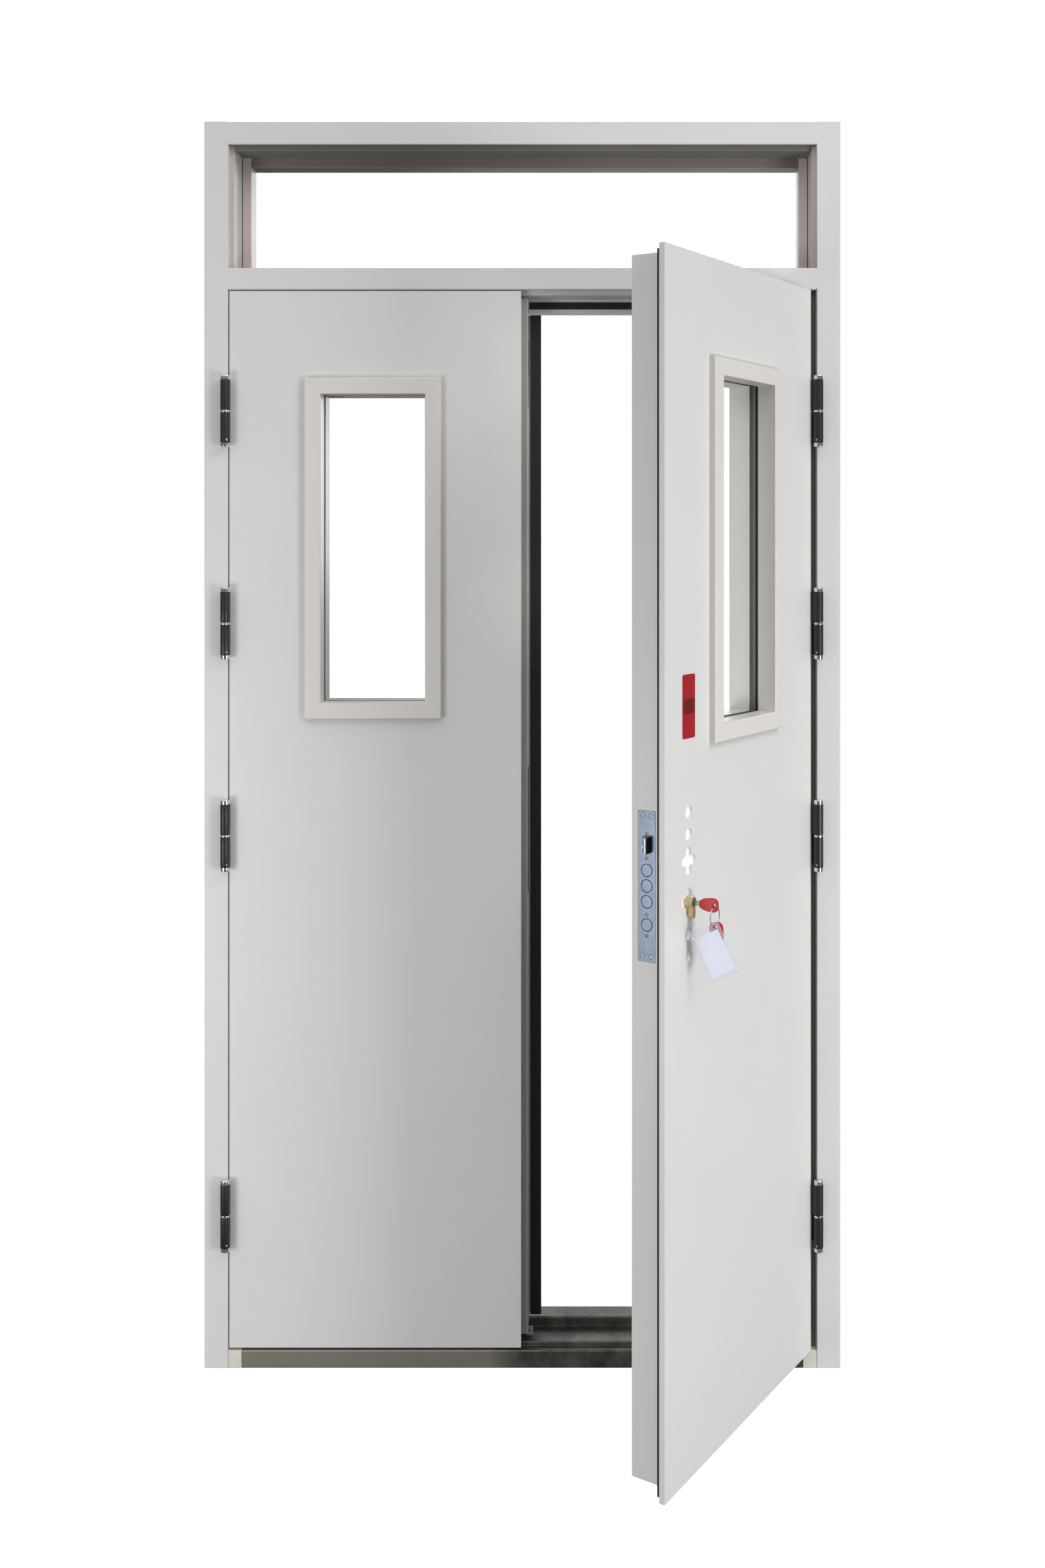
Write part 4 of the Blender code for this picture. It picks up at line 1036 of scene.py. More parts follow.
@dataclass
class Workshop:
    """The loaded frame and the finishes, which every class builds with."""

    frame: dict[str, Any]
    palette: Palette = field(default_factory=Palette)

    def node(self, name: str) -> Object:
        """Returns a solid of the construction."""
        return self.frame["nodes"][name]

    def dress(self, name: str, finish: Finish) -> None:
        """Gives a solid of the construction its finish.

        Args:
            name: The node.
            finish: What it gets.
        """
        solid = self.node(name)
        solid.data.materials.clear()
        solid.data.materials.append(self.palette.get(finish))
        for face in solid.data.polygons:
            face.material_index = 0

    def coat(self, piece: Object, finish: Finish) -> Object:
        """Gives a new piece one finish.

        Args:
            piece: The piece.
            finish: What it gets.

        Returns:
            The same piece.
        """
        piece.data.materials.clear()
        piece.data.materials.append(self.palette.get(finish))
        return piece

    def shut(self, node: str, name: str) -> Object:
        """Copies a solid of the active leaf, swung back to shut, where its sizes are square.

        Args:
            node: The solid.
            name: The copy's name.

        Returns:
            The copy.
        """
        piece = merged_copy(self.node(node), name)
        piece.data.transform(active_place().inverted())
        return piece

    def tint(self, piece: Object, finish: Finish, wanted: FaceTest) -> None:
        """Gives some of a piece's faces another finish.

        Args:
            piece: The piece, which has its main finish.
            finish: What those faces get.
            wanted: Says yes or no from a face's centre and normal.
        """
        piece.data.materials.append(self.palette.get(finish))
        for face in piece.data.polygons:
            if wanted(face.center, face.normal):
                face.material_index = len(piece.data.materials) - 1

    def hang(
        self,
        piece: Object,
        body: str,
        slot: str,
        replaces: tuple[str, ...] = (),
        place: Matrix | None = None,
    ) -> Object:
        """Puts a finished piece on its body.

        Args:
            piece: The piece, with its place in its mesh.
            body: The body that carries it.
            slot: The record's material slot; not used.
            replaces: The solids that it stands for.
            place: A last move, such as the open leaf's turn.

        Returns:
            The piece.
        """
        if place is not None:
            piece.data.transform(place)
        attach(piece, body)
        if replaces:
            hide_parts(*replaces)
        LOG.info("%s rides on %s", piece.name, body)
        return piece


@dataclass
class Studio:
    """Camera, pale floor, white surround and soft lights."""

    eye: Point = (0.190, -2.930, 1.559)
    lens: float = 35.57
    shift: Span = (-0.0642, -0.1548)
    sensor: float = 36.0
    clip: Span = (0.05, 200.0)
    floor_half: float = 40.0
    floor_paint: str = "F7F7F6"
    floor_rough: float = 0.8
    floor_bounce: str = "646464"
    floor_glow: float = 0.70
    sky_high: float = 1.15
    sky_low: float = 0.20
    sky_behind: float = 0.16
    sky_seen: float = 1.1
    sky_rise: Span = (0.15, 0.55)
    sky_turn: float = 0.2
    aim: Point = (0.0, 0.0, 1.15)
    lamps: tuple[tuple[str, Point, float, float], ...] = (
        ("right_softbox", (2.6, -2.0, 4.0), 1.4, 40),
        ("right_low_softbox", (2.6, -2.2, 0.5), 1.0, 54),
        ("left_low_softbox", (-2.0, -2.4, 0.5), 1.0, 31),
        ("rear_softbox", (0.6, 4.2, 2.6), 2.6, 70),
    )

    def build(self) -> None:
        """Sets up the whole studio."""
        self.camera()
        self.floor()
        self.surround()
        for name, place, size, power in self.lamps:
            self.lamp(name, place, size, power)

    def camera(self) -> None:
        """Places the level camera, shifted as the photograph is framed."""
        data = bpy.data.cameras.new("camera")
        data.sensor_width = self.sensor
        data.lens = self.lens
        data.shift_x, data.shift_y = self.shift
        data.clip_start, data.clip_end = self.clip
        camera = bpy.data.objects.new("camera", data)
        camera.location = self.eye
        camera.rotation_euler = (math.pi / 2, 0, 0)
        bpy.context.scene.collection.objects.link(camera)
        bpy.context.scene.camera = camera

    def floor(self) -> None:
        """Lays a wide pale floor that looks white and throws little light up."""
        deselect()
        bpy.ops.mesh.primitive_plane_add(size=2 * self.floor_half, location=(0, 0, 0))
        floor = bpy.context.object
        floor.name = floor.data.name = "studio_floor"
        apply_place(floor)
        material, tree, shader = Finish("studio_paint", self.floor_paint, self.floor_rough).start()
        path = add_node(tree, "ShaderNodeLightPath")
        tone = add_node(
            tree,
            "ShaderNodeMix",
            {"data_type": "RGBA"},
            {
                "Factor": path.outputs["Is Camera Ray"],
                "A": to_linear(self.floor_bounce),
                "B": to_linear(self.floor_paint),
            },
        )
        tree.links.new(tone.outputs["Result"], shader.inputs["Base Color"])
        glow = add_node(
            tree,
            "ShaderNodeMapRange",
            inputs={"Value": path.outputs["Is Camera Ray"], "To Max": self.floor_glow},
        )
        tree.links.new(glow.outputs["Result"], shader.inputs["Emission Strength"])
        shader.inputs["Emission Color"].default_value = (1, 1, 1, 1)
        floor.data.materials.append(material)

    def surround(self) -> None:
        """Makes the surround white to the eye, and as a light bright above and in front."""
        world = bpy.data.worlds.new("white_surround")
        world.use_nodes = True
        bpy.context.scene.world = world
        tree = world.node_tree
        background = tree.nodes["Background"]
        path = add_node(tree, "ShaderNodeLightPath")
        way = add_node(tree, "ShaderNodeTexCoord").outputs["Generated"]
        parts = add_node(tree, "ShaderNodeSeparateXYZ", inputs={"Vector": way})
        low_end, high_end = self.sky_rise
        high = add_node(
            tree,
            "ShaderNodeMapRange",
            {"interpolation_type": "SMOOTHSTEP"},
            {
                "Value": parts.outputs["Z"],
                "From Min": low_end,
                "From Max": high_end,
                "To Min": self.sky_low,
                "To Max": self.sky_high,
            },
        )
        behind = add_node(
            tree,
            "ShaderNodeMapRange",
            inputs={
                "Value": parts.outputs["Y"], "From Min": -self.sky_turn, "From Max": self.sky_turn
            },
        )
        light = add_node(
            tree,
            "ShaderNodeMix",
            inputs={
                "Factor": behind.outputs["Result"],
                "A": high.outputs["Result"],
                "B": self.sky_behind,
            },
        )
        strength = add_node(
            tree,
            "ShaderNodeMix",
            inputs={
                "Factor": path.outputs["Is Camera Ray"],
                "A": light.outputs["Result"],
                "B": self.sky_seen,
            },
        )
        background.inputs["Color"].default_value = (1, 1, 1, 1)
        tree.links.new(strength.outputs["Result"], background.inputs["Strength"])
        bpy.context.scene.view_settings.view_transform = "Standard"

    def lamp(self, name: str, place: Point, size: float, power: float) -> None:
        """Hangs a square soft light that faces the door.

        Args:
            name: The light's name.
            place: Where it hangs.
            size: Its side.
            power: Its power in watts.
        """
        data = bpy.data.lights.new(name, "AREA")
        data.size = size
        data.energy = power
        light = bpy.data.objects.new(name, data)
        light.location = place
        facing = Vector(self.aim) - Vector(place)
        light.rotation_euler = facing.to_track_quat("-Z", "Y").to_euler()
        bpy.context.scene.collection.objects.link(light)


@dataclass
class SubAssembly:
    """A part of the door, built in the workshop that holds the frame and the finishes."""

    shop: Workshop


@dataclass
class SteelFrame(SubAssembly):
    """The fixed frame: jambs, head, rail, sill, stop seals and welded corners."""

    coated: tuple[str, ...] = ("jamb_left", "jamb_right", "head", "transom_rail")
    seals: tuple[str, ...] = ("stop_seal_left", "stop_seal_right", "stop_seal_head")
    block_round: float = 1.2 * MM
    weld_x: Span = (554.7 * MM, 557.0 * MM)
    weld_heights: tuple[Span, ...] = ((2309 * MM, 2350 * MM), (2035.5 * MM, 2072.5 * MM))
    weld_depth: float = 1.9 * MM
    weld_ground: float = 0.3 * MM
    joint: float = 1.5 * MM
    groove_half: float = 0.4 * MM
    groove_round: float = 0.2 * MM
    recess_clear: float = 2 * MM
    recess_reach: Span = (555.5 * MM, 2312 * MM)
    rebate_x: float = 547 * MM
    stop_y: float = 65 * MM
    fanlight: Span = (2072.5 * MM, 2302 * MM)

    def recess(self) -> None:
        """Paints shade on the faces that lie back in the head and the jambs."""
        behind = FRONT + self.recess_clear
        side, top = self.recess_reach
        head = bpy.data.objects["head_sheet"]
        self.shop.tint(
            head, HEAD_STOP, lambda at, out: at.y > behind and at.z < top and out.y < -LEANING
        )
        self.shop.tint(
            head, HEAD_SOFFIT, lambda at, out: at.y > behind and at.z < top and out.z < -LEANING
        )
        for hand in Hand:
            self.shop.tint(
                bpy.data.objects[f"jamb_{hand.side}_sheet"],
                JAMB_STOP,
                lambda at, out: at.y > behind and abs(at.x) < side and out.y < -LEANING,
            )

    def rebate_joint(self, hand: Hand) -> None:
        """Runs a black strip up the fanlight's rebate where the seal groove is empty; its darkness
        is painted shade of the open slot.

        Args:
            hand: Which jamb.
        """
        low, high = self.fanlight
        ends = sorted(hand.value * x for x in (self.rebate_x, self.rebate_x - self.joint))
        # Painted shade: the empty groove is drawn as a solid black strip.
        groove = box(
            f"seal_groove_{hand.side}",
            (ends[0], self.stop_y - self.groove_half, low),
            (ends[1], self.stop_y + self.groove_half, high),
        )
        self.shop.coat(round_edges(groove, self.groove_round), DOOR_SEAL)
        self.shop.hang(groove, "frame", "black_seal")

    def folded(self, node: str, finish: Finish, slot: str) -> None:
        """Gives a folded profile smooth bends between its flats.

        Args:
            node: The profile's solid.
            finish: What it gets.
            slot: The record's material slot.
        """
        sheet = shade(merged_copy(self.shop.node(node), f"{node}_sheet"))
        self.shop.coat(sheet, finish)
        self.shop.hang(sheet, "frame", slot, (node,))

    def weld(self, hand: Hand, low: float, high: float) -> None:
        """Closes the hairline between a cross member and a jamb, ground flush and coated.

        Args:
            hand: Which jamb.
            low: The weld's lower end.
            high: Its upper end.
        """
        ends = sorted(hand.value * x for x in self.weld_x)
        bead = box(
            f"corner_weld_{hand.side}_{round(low / MM)}",
            (ends[0], FRONT, low),
            (ends[1], FRONT + self.weld_depth, high),
        )
        select_faces(bead, lambda centre, normal: normal.y > ALONG)
        bpy.ops.mesh.inset(thickness=self.weld_ground, depth=0)
        bpy.ops.object.mode_set(mode="OBJECT")
        self.shop.coat(bead, FRAME_COAT)
        self.shop.hang(bead, "frame", "frame_coat")

    def build(self) -> None:
        """Dresses the frame and softens the blocks at the sill's ends."""
        for name in self.coated:
            self.folded(name, FRAME_COAT, "frame_coat")
        self.recess()
        self.folded("sill", SILL_STEEL, "sill_steel")
        for name in self.seals:
            self.shop.dress(name, DOOR_SEAL)
        for hand in Hand:
            for low, high in self.weld_heights:
                self.weld(hand, low, high)
            self.rebate_joint(hand)
            node = f"sill_end_{hand.side}"
            block = merged_copy(self.shop.node(node), f"{node}_block")
            self.shop.coat(round_edges(block, self.block_round), BLOCK_COAT)
            self.shop.hang(block, "frame", "frame_coat", (node,))


@dataclass
class DoorLeaf(SubAssembly):
    """One leaf: skins with rounded folds, core, beads and glass."""

    side: str
    bead_finish: Finish
    core_finish: Finish
    fold: float = 1.3 * MM
    rebate_x: Span = (-2.5 * MM, 7.6 * MM)
    rebate_y: float = 7 * MM
    rebate_slack: float = 0.5 * MM

    @property
    def body(self) -> str:
        """The body that the leaf's pieces ride on."""
        return f"{self.side}_leaf"

    def prime(self, skin: Object) -> None:
        """Makes the rebate that the other leaf shuts over mid grey.

        Args:
            skin: The passive leaf's sheet; the active one has no such rebate.
        """
        if self.side == "active":
            return
        near, far = self.rebate_x
        self.shop.tint(
            skin,
            REBATE_GREY,
            lambda at, out: near < at.x < far and abs(at.y - self.rebate_y) < self.rebate_slack,
        )

    def build(self) -> None:
        """Builds the skins and dresses the rest."""
        for face in ("front", "back"):
            node = f"{self.side}_{face}_skin"
            skin = merged_copy(self.shop.node(node), f"{self.side}_{face}_sheet")
            self.shop.coat(round_edges(skin, self.fold), LEAF_COAT)
            self.prime(skin)
            self.shop.hang(skin, self.body, "leaf_coat", (node,))
            node = f"{self.side}_bead_{face}"
            bead = shade(merged_copy(self.shop.node(node), f"{node}_profile"))
            self.shop.coat(bead, self.bead_finish)
            self.shop.hang(bead, self.body, "bead_coat", (node,))
        self.shop.dress(f"{self.side}_core", self.core_finish)
        self.shop.dress(f"{self.side}_glazing_seal", DOOR_SEAL)
        self.shop.dress(f"{self.side}_glass", FIRE_GLASS)


@dataclass
class LiftOffHinge(SubAssembly):
    """One hinge: a fixed lower half with its pin and ring, and an upper half on the leaf."""

    heights: tuple[float, ...] = (294 * MM, 1007 * MM, 1405 * MM, 1803 * MM)
    length: float = 135 * MM
    cap: float = 8 * MM
    ring: float = 4 * MM
    gap: float = 0.6 * MM
    radius: float = 9.0 * MM
    cap_radius: float = 8.6 * MM
    pin: float = 4.5 * MM
    bore: float = 5.2 * MM
    barrel_ease: float = 0.9 * MM
    cap_dome: float = 2.2 * MM
    cap_step: Span = (2.5 * MM, -0.4 * MM)
    ring_ease: float = 0.6 * MM
    pin_ease: float = 1.2 * MM
    pin_clear: float = 2 * MM
    wing: float = 1.6 * MM
    wing_ease: float = 0.5 * MM
    frame_wing: Point = (-3.4 * MM, 0.0, 29 * MM)
    leaf_wing: Point = (-3.7 * MM, 7.1 * MM, 24 * MM)
    flange_x: Span = (-9 * MM, -1.9 * MM)
    flange_y: Span = (28.9 * MM, 30.6 * MM)
    flange_ease: float = 0.4 * MM
    grub_radius: float = 1.8 * MM
    grub_proud: float = 0.3 * MM
    grub_height: float = 5.5 * MM
    grub_turn: float = math.radians(62)

    @property
    def knuckle(self) -> float:
        """Height of one half's black barrel."""
        return (self.length - 2 * self.cap - self.ring - self.gap) / 2

    def barrel(self, low: float) -> Object:
        """Turns one black barrel with eased ends.

        Args:
            low: Height of its foot above the hinge's middle.

        Returns:
            The barrel.
        """
        middle = (0, 0, low + self.knuckle / 2)
        barrel = drum("barrel", self.radius, self.knuckle, middle)
        select_faces(barrel, lambda centre, normal: abs(normal.z) > ALONG)
        bpy.ops.mesh.bevel(offset=self.barrel_ease, segments=3, affect="EDGES")
        bpy.ops.object.mode_set(mode="OBJECT")
        return self.shop.coat(shade(barrel), BLACK_LACQUER)

    def end_cap(self, low: float, up: int) -> Object:
        """Turns a chrome cap with a stepped neck and a domed end.

        Args:
            low: Height of its foot above the hinge's middle.
            up: 1 where the domed end is on top, or -1.

        Returns:
            The cap.
        """
        middle = (0, 0, low + self.cap / 2)
        cap = drum("cap", self.cap_radius, self.cap, middle)
        select_faces(cap, lambda centre, normal: normal.z * up > ALONG)
        bpy.ops.mesh.bevel(offset=self.cap_dome, segments=5, affect="EDGES")
        bpy.ops.object.mode_set(mode="OBJECT")
        select_faces(cap, lambda centre, normal: normal.z * up > SQUARE_ON)
        thickness, depth = self.cap_step
        bpy.ops.mesh.inset(thickness=thickness, depth=depth)
        bpy.ops.object.mode_set(mode="OBJECT")
        return self.shop.coat(shade(cap), CHROME)

    def plate(self, wing: Point, low: float) -> Object:
        """Makes the black plate that ties a barrel to the steel behind it.

        Args:
            wing: Its lower x, and where it starts and ends behind the axis.
            low: Height of its foot above the hinge's middle.

        Returns:
            The plate, for a hinge on the right.
        """
        inner, near, far = wing
        plate = box("plate", (inner, near, low), (inner + self.wing, far, low + self.knuckle))
        return self.shop.coat(round_edges(plate, self.wing_ease), BLACK_LACQUER)

    def lower_half(self) -> Object:
        """Builds the frame's half about the axis.

        Returns:
            The half, for a hinge on the right.
        """
        foot = -self.length / 2
        low = foot + self.cap
        ring_low = low + self.knuckle
        ring_middle = (0, 0, ring_low + self.ring / 2)
        ring = drum("ring", self.cap_radius, self.ring, ring_middle)
        self.shop.coat(round_edges(ring, self.ring_ease), CHROME)
        pin_length = self.knuckle - self.pin_clear + self.gap
        pin_middle = (0, 0, ring_low + self.ring + pin_length / 2)
        pin = drum("pin", self.pin, pin_length, pin_middle)
        self.shop.coat(round_edges(pin, self.pin_ease), CHROME)
        plate = self.plate(self.frame_wing, low)
        flange = box(
            "flange",
            (self.flange_x[0], self.flange_y[0], low),
            (self.flange_x[1], self.flange_y[1], low + self.knuckle),
        )
        self.shop.coat(round_edges(flange, self.flange_ease), BLACK_LACQUER)
        grub = Screw(self.shop, self.grub_radius, self.grub_proud).pattern(CHROME)
        outward = Matrix.Translation((-self.radius, 0, low + self.grub_height))
        grub.data.transform(Matrix.Rotation(self.grub_turn, 4, "Z") @ outward)
        pieces = [self.barrel(low), self.end_cap(foot, -1)]
        return join("hinge_lower", [*pieces, ring, pin, plate, flange, grub])

    def upper_half(self) -> Object:
        """Builds the leaf's half about the axis.

        Returns:
            The half, for a hinge on the right.
        """
        top = self.length / 2
        low = top - self.cap - self.knuckle
        barrel = self.barrel(low)
        middle = (0, 0, low + self.knuckle / 2 - self.cap)
        cut(barrel, drum("bore", self.bore, self.knuckle, middle))
        plate = self.plate(self.leaf_wing, low)
        return join("hinge_upper", [barrel, self.end_cap(top - self.cap, 1), plate])

    def build(self) -> None:
        """Builds both halves once and copies them to all eight hinges."""
        halves = {"frame": self.lower_half(), "leaf": self.upper_half()}
        mirror = Matrix.Scale(-1, 4, (1, 0, 0))
        for hand in Hand:
            leaf = "active" if hand is Hand.RIGHT else "passive"
            for number, height in enumerate(self.heights, 1):
                for half, pattern in halves.items():
                    place = Matrix.Translation((hand.value * AXIS_X, AXIS_Y, height))
                    if hand is Hand.LEFT:
                        place = place @ mirror
                    elif half == "leaf":
                        place = active_place() @ place
                    node = f"hinge_{hand.side}_{number}_{half}"
                    piece = copied(pattern, f"{node}_half", place)
                    if hand is Hand.LEFT:
                        piece.data.flip_normals()
                    body = "frame" if half == "frame" else f"{leaf}_leaf"
                    self.shop.hang(piece, body, "hinge_black", (node,))
        for pattern in halves.values():
            bpy.data.objects.remove(pattern, do_unlink=True)


@dataclass
class Screw(SubAssembly):
    """A countersunk cross-head screw, modelled once with its head facing down the x axis."""

    radius: float = 3.6 * MM
    proud: float = 0.1 * MM
    depth: float = 1.2 * MM
    ease: float = 0.35 * MM
    sides: int = 28
    slot_share: float = 0.28
    slot_shrink: float = 1.6
    slot_depth: float = 0.45 * MM
    slot_clear: float = 1 * MM

    def pattern(self, finish: Finish) -> Object:
        """Models the head.

        Args:
            finish: Its metal.

        Returns:
            The head, facing -X with its face at x = -proud.
        """
        middle = (self.depth / 2 - self.proud, 0, 0)
        head = drum("screw", self.radius, self.depth, middle, "X", self.sides)
        round_edges(head, self.ease)
        slot = self.slot_share * self.radius
        for wide, tall in ((slot, self.radius), (self.radius, slot)):
            half_y, half_z = wide / self.slot_shrink, tall / self.slot_shrink
            low = (-self.slot_clear, -half_y, -half_z)
            high = (self.slot_depth, half_y, half_z)
            cut(head, box("recess", low, high))
        return self.shop.coat(shade(head), finish)


@dataclass
class LockEdge(SubAssembly):
    """The active leaf's edge: faceplate, four bolt ends, screws and sprung latch."""

    face_x: float = 18.5 * MM
    line_y: float = 32 * MM
    low: float = 887 * MM
    high: float = 1128 * MM
    width: float = 32 * MM
    thick: float = 3 * MM
    corner: float = 2.6 * MM
    bolts: tuple[float, ...] = (945.5 * MM, 982.5 * MM, 1008 * MM, 1033 * MM)
    bolt_radius: float = 10 * MM
    bolt_clear: float = 0.7 * MM
    bolt_sunk: float = 0.4 * MM
    bolt_ease: float = 0.9 * MM
    plate_ease: float = 0.3 * MM
    rivets: tuple[float, ...] = (928 * MM, 962 * MM, 1052 * MM, 1091 * MM)
    screws: tuple[float, ...] = (895.5 * MM, 1120 * MM)
    screw_aside: float = 8.2 * MM
    screw_radius: float = 3.6 * MM
    rivet_radius: float = 2.5 * MM
    sink_clear: float = 0.6 * MM
    sink_depth: float = 2.4 * MM
    sink_sides: int = 32
    latch_z: float = 1074 * MM
    latch_tall: float = 26 * MM
    latch_thick: float = 14 * MM
    latch_clear: float = 0.5 * MM
    latch_ease: float = 0.7 * MM
    black_reach: float = 0.9 * MM
    guard_radius: float = 1.7 * MM
    guard_length: float = 9 * MM
    guard_drop: float = 2 * MM
    guard_ease: float = 0.5 * MM
    guard_sides: int = 24

    def fixing_spots(self) -> list[Point]:
        """Lists the screws in pairs and the rivets on the plate's middle line.

        Returns:
            Each fixing's offset across the plate, its height and its radius.
        """
        spots = [
            (side * self.screw_aside, height, self.screw_radius)
            for height in self.screws
            for side in (-1, 1)
        ]
        return spots + [(0.0, height, self.rivet_radius) for height in self.rivets]

    def faceplate(self) -> None:
        """Cuts the plate and sets the bolt ends flush in it."""
        half = self.width / 2
        plate = box(
            "plate",
            (self.face_x, self.line_y - half, self.low),
            (self.face_x + self.thick, self.line_y + half, self.high),
        )
        round_corners(plate, 0, self.thick, self.corner, 5)
        for height in self.bolts:
            middle = (self.face_x, self.line_y, height)
            hole = drum("hole", self.bolt_radius + self.bolt_clear, 4 * self.thick, middle, "X")
            cut(plate, hole)
        half_y = self.latch_thick / 2 + self.latch_clear
        half_z = self.latch_tall / 2 + self.latch_clear
        slot = box(
            "slot",
            (self.face_x - self.thick, self.line_y - half_y, self.latch_z - half_z),
            (self.face_x + 2 * self.thick, self.line_y + half_y, self.latch_z + half_z),
        )
        cut(plate, slot)
        for aside, height, radius in self.fixing_spots():
            middle = (self.face_x, self.line_y + aside, height)
            wide = radius + self.sink_clear
            cut(plate, drum("sink", wide, self.sink_depth, middle, "X", self.sink_sides))
        self.shop.coat(round_edges(plate, self.plate_ease), ZINC)
        ends = []
        sunk = self.face_x + self.thick / 2 - self.bolt_sunk
        for number, height in enumerate(self.bolts, 1):
            middle = (sunk, self.line_y, height)
            end = drum(f"bolt_{number}", self.bolt_radius, self.thick, middle, "X")
            ends.append(self.shop.coat(round_edges(end, self.bolt_ease, 3), ZINC))
        joined = join("lock_face", [plate, *ends])
        self.shop.hang(joined, "active_leaf", "zinc_steel", ("lock_faceplate",), active_place())

    def fixings(self) -> None:
        """Copies the screws and rivets to their places on the plate."""
        patterns = {
            self.screw_radius: Screw(self.shop, self.screw_radius).pattern(SCREW_STEEL),
            self.rivet_radius: Screw(self.shop, self.rivet_radius).pattern(RIVET),
        }
        made = []
        for number, (aside, height, radius) in enumerate(self.fixing_spots(), 1):
            place = Matrix.Translation((self.face_x, self.line_y + aside, height))
            made.append(copied(patterns[radius], f"fixing_{number}", place))
        fixings = join("lock_fixings", made)
        self.shop.hang(fixings, "active_leaf", "zinc_steel", (), active_place())
        for pattern in patterns.values():
            bpy.data.objects.remove(pattern, do_unlink=True)

    def latch(self) -> None:
        """Rounds the latch, darkens its strike side and adds its guard pin."""
        latch = self.shop.shut("latch_bolt", "latch_tongue")
        self.shop.coat(round_edges(latch, self.latch_ease, 3), LATCH_STEEL)
        front = self.line_y - self.latch_thick / 2 + self.black_reach
        self.shop.tint(latch, LATCH_BLACK, lambda at, out: at.y < front)
        middle = (
            self.face_x - self.guard_length / 2,
            self.line_y + self.latch_thick / 4,
            self.latch_z - self.guard_drop,
        )
        pin = drum("pin", self.guard_radius, self.guard_length, middle, "X", self.guard_sides)
        self.shop.coat(round_edges(pin, self.guard_ease), CHROME)
        tongue = join("latch_tongue", [latch, pin])
        self.shop.hang(tongue, "latch", "zinc_steel", ("latch_bolt",), active_place())

    def build(self) -> None:
        """Builds the whole edge."""
        self.faceplate()
        self.fixings()
        self.latch()
        self.shop.dress("edge_strip", DOOR_SEAL)


@dataclass
class MeetingEdge(SubAssembly):
    """The passive leaf's edge: strike, flush bolt and its foot guide, astragal and seal."""

    plate_round: float = 0.4 * MM
    strike_low: Point = (6.5 * MM, 18 * MM, 887 * MM)
    strike_high: Point = (8.5 * MM, 46 * MM, 1128 * MM)
    pocket_low: Point = (0.0, 22 * MM, 1058 * MM)
    pocket_high: Point = (15 * MM, 42 * MM, 1090 * MM)
    guide_low: Point = (7.5 * MM, 28.4 * MM, 43.5 * MM)
    guide_high: Point = (17.8 * MM, 30.0 * MM, 60.5 * MM)
    guide_ease: float = 0.3 * MM
    guide_screw: Point = (12.2 * MM, 28.4 * MM, 52 * MM)
    guide_screw_radius: float = 2.4 * MM
    guide_sink: Span = (2.9 * MM, 1.6 * MM)
    guide_sides: int = 28

    def strike(self) -> None:
        """Cuts the strike plate's pocket, which the latch enters with room all round."""
        plate = box("strike_plate_face", self.strike_low, self.strike_high)
        cut(plate, box("pocket", self.pocket_low, self.pocket_high))
        self.shop.coat(round_edges(plate, self.plate_round), ZINC)
        self.shop.hang(plate, "passive_leaf", "zinc_steel", ("strike_plate",))

    def foot_guide(self) -> None:
        """Screws the flush bolt's small guide plate to the leaf's foot."""
        plate = box("plate", self.guide_low, self.guide_high)
        cut(plate, drum("sink", *self.guide_sink, self.guide_screw, "Y", self.guide_sides))
        self.shop.coat(round_edges(plate, self.guide_ease), GUIDE_ZINC)
        screw = Screw(self.shop, self.guide_screw_radius).pattern(SCREW_STEEL)
        turn = Matrix.Rotation(math.pi / 2, 4, "Z")
        screw.data.transform(Matrix.Translation(self.guide_screw) @ turn)
        guide = join("foot_guide", [plate, screw])
        self.shop.hang(guide, "passive_leaf", "zinc_steel")

    def build(self) -> None:
        """Dresses the edge and eases its plates."""
        astragal = shade(merged_copy(self.shop.node("astragal"), "astragal_strip"))
        self.shop.coat(astragal, LEAF_COAT)
        self.shop.hang(astragal, "passive_leaf", "leaf_coat", ("astragal",))
        self.shop.dress("meeting_seal", DOOR_SEAL)
        self.foot_guide()
        self.strike()
        bolt = merged_copy(self.shop.node("flush_bolt"), "flush_bolt_face")
        self.shop.coat(round_edges(bolt, self.plate_round), ZINC)
        self.shop.hang(bolt, "passive_leaf", "zinc_steel", ("flush_bolt",))


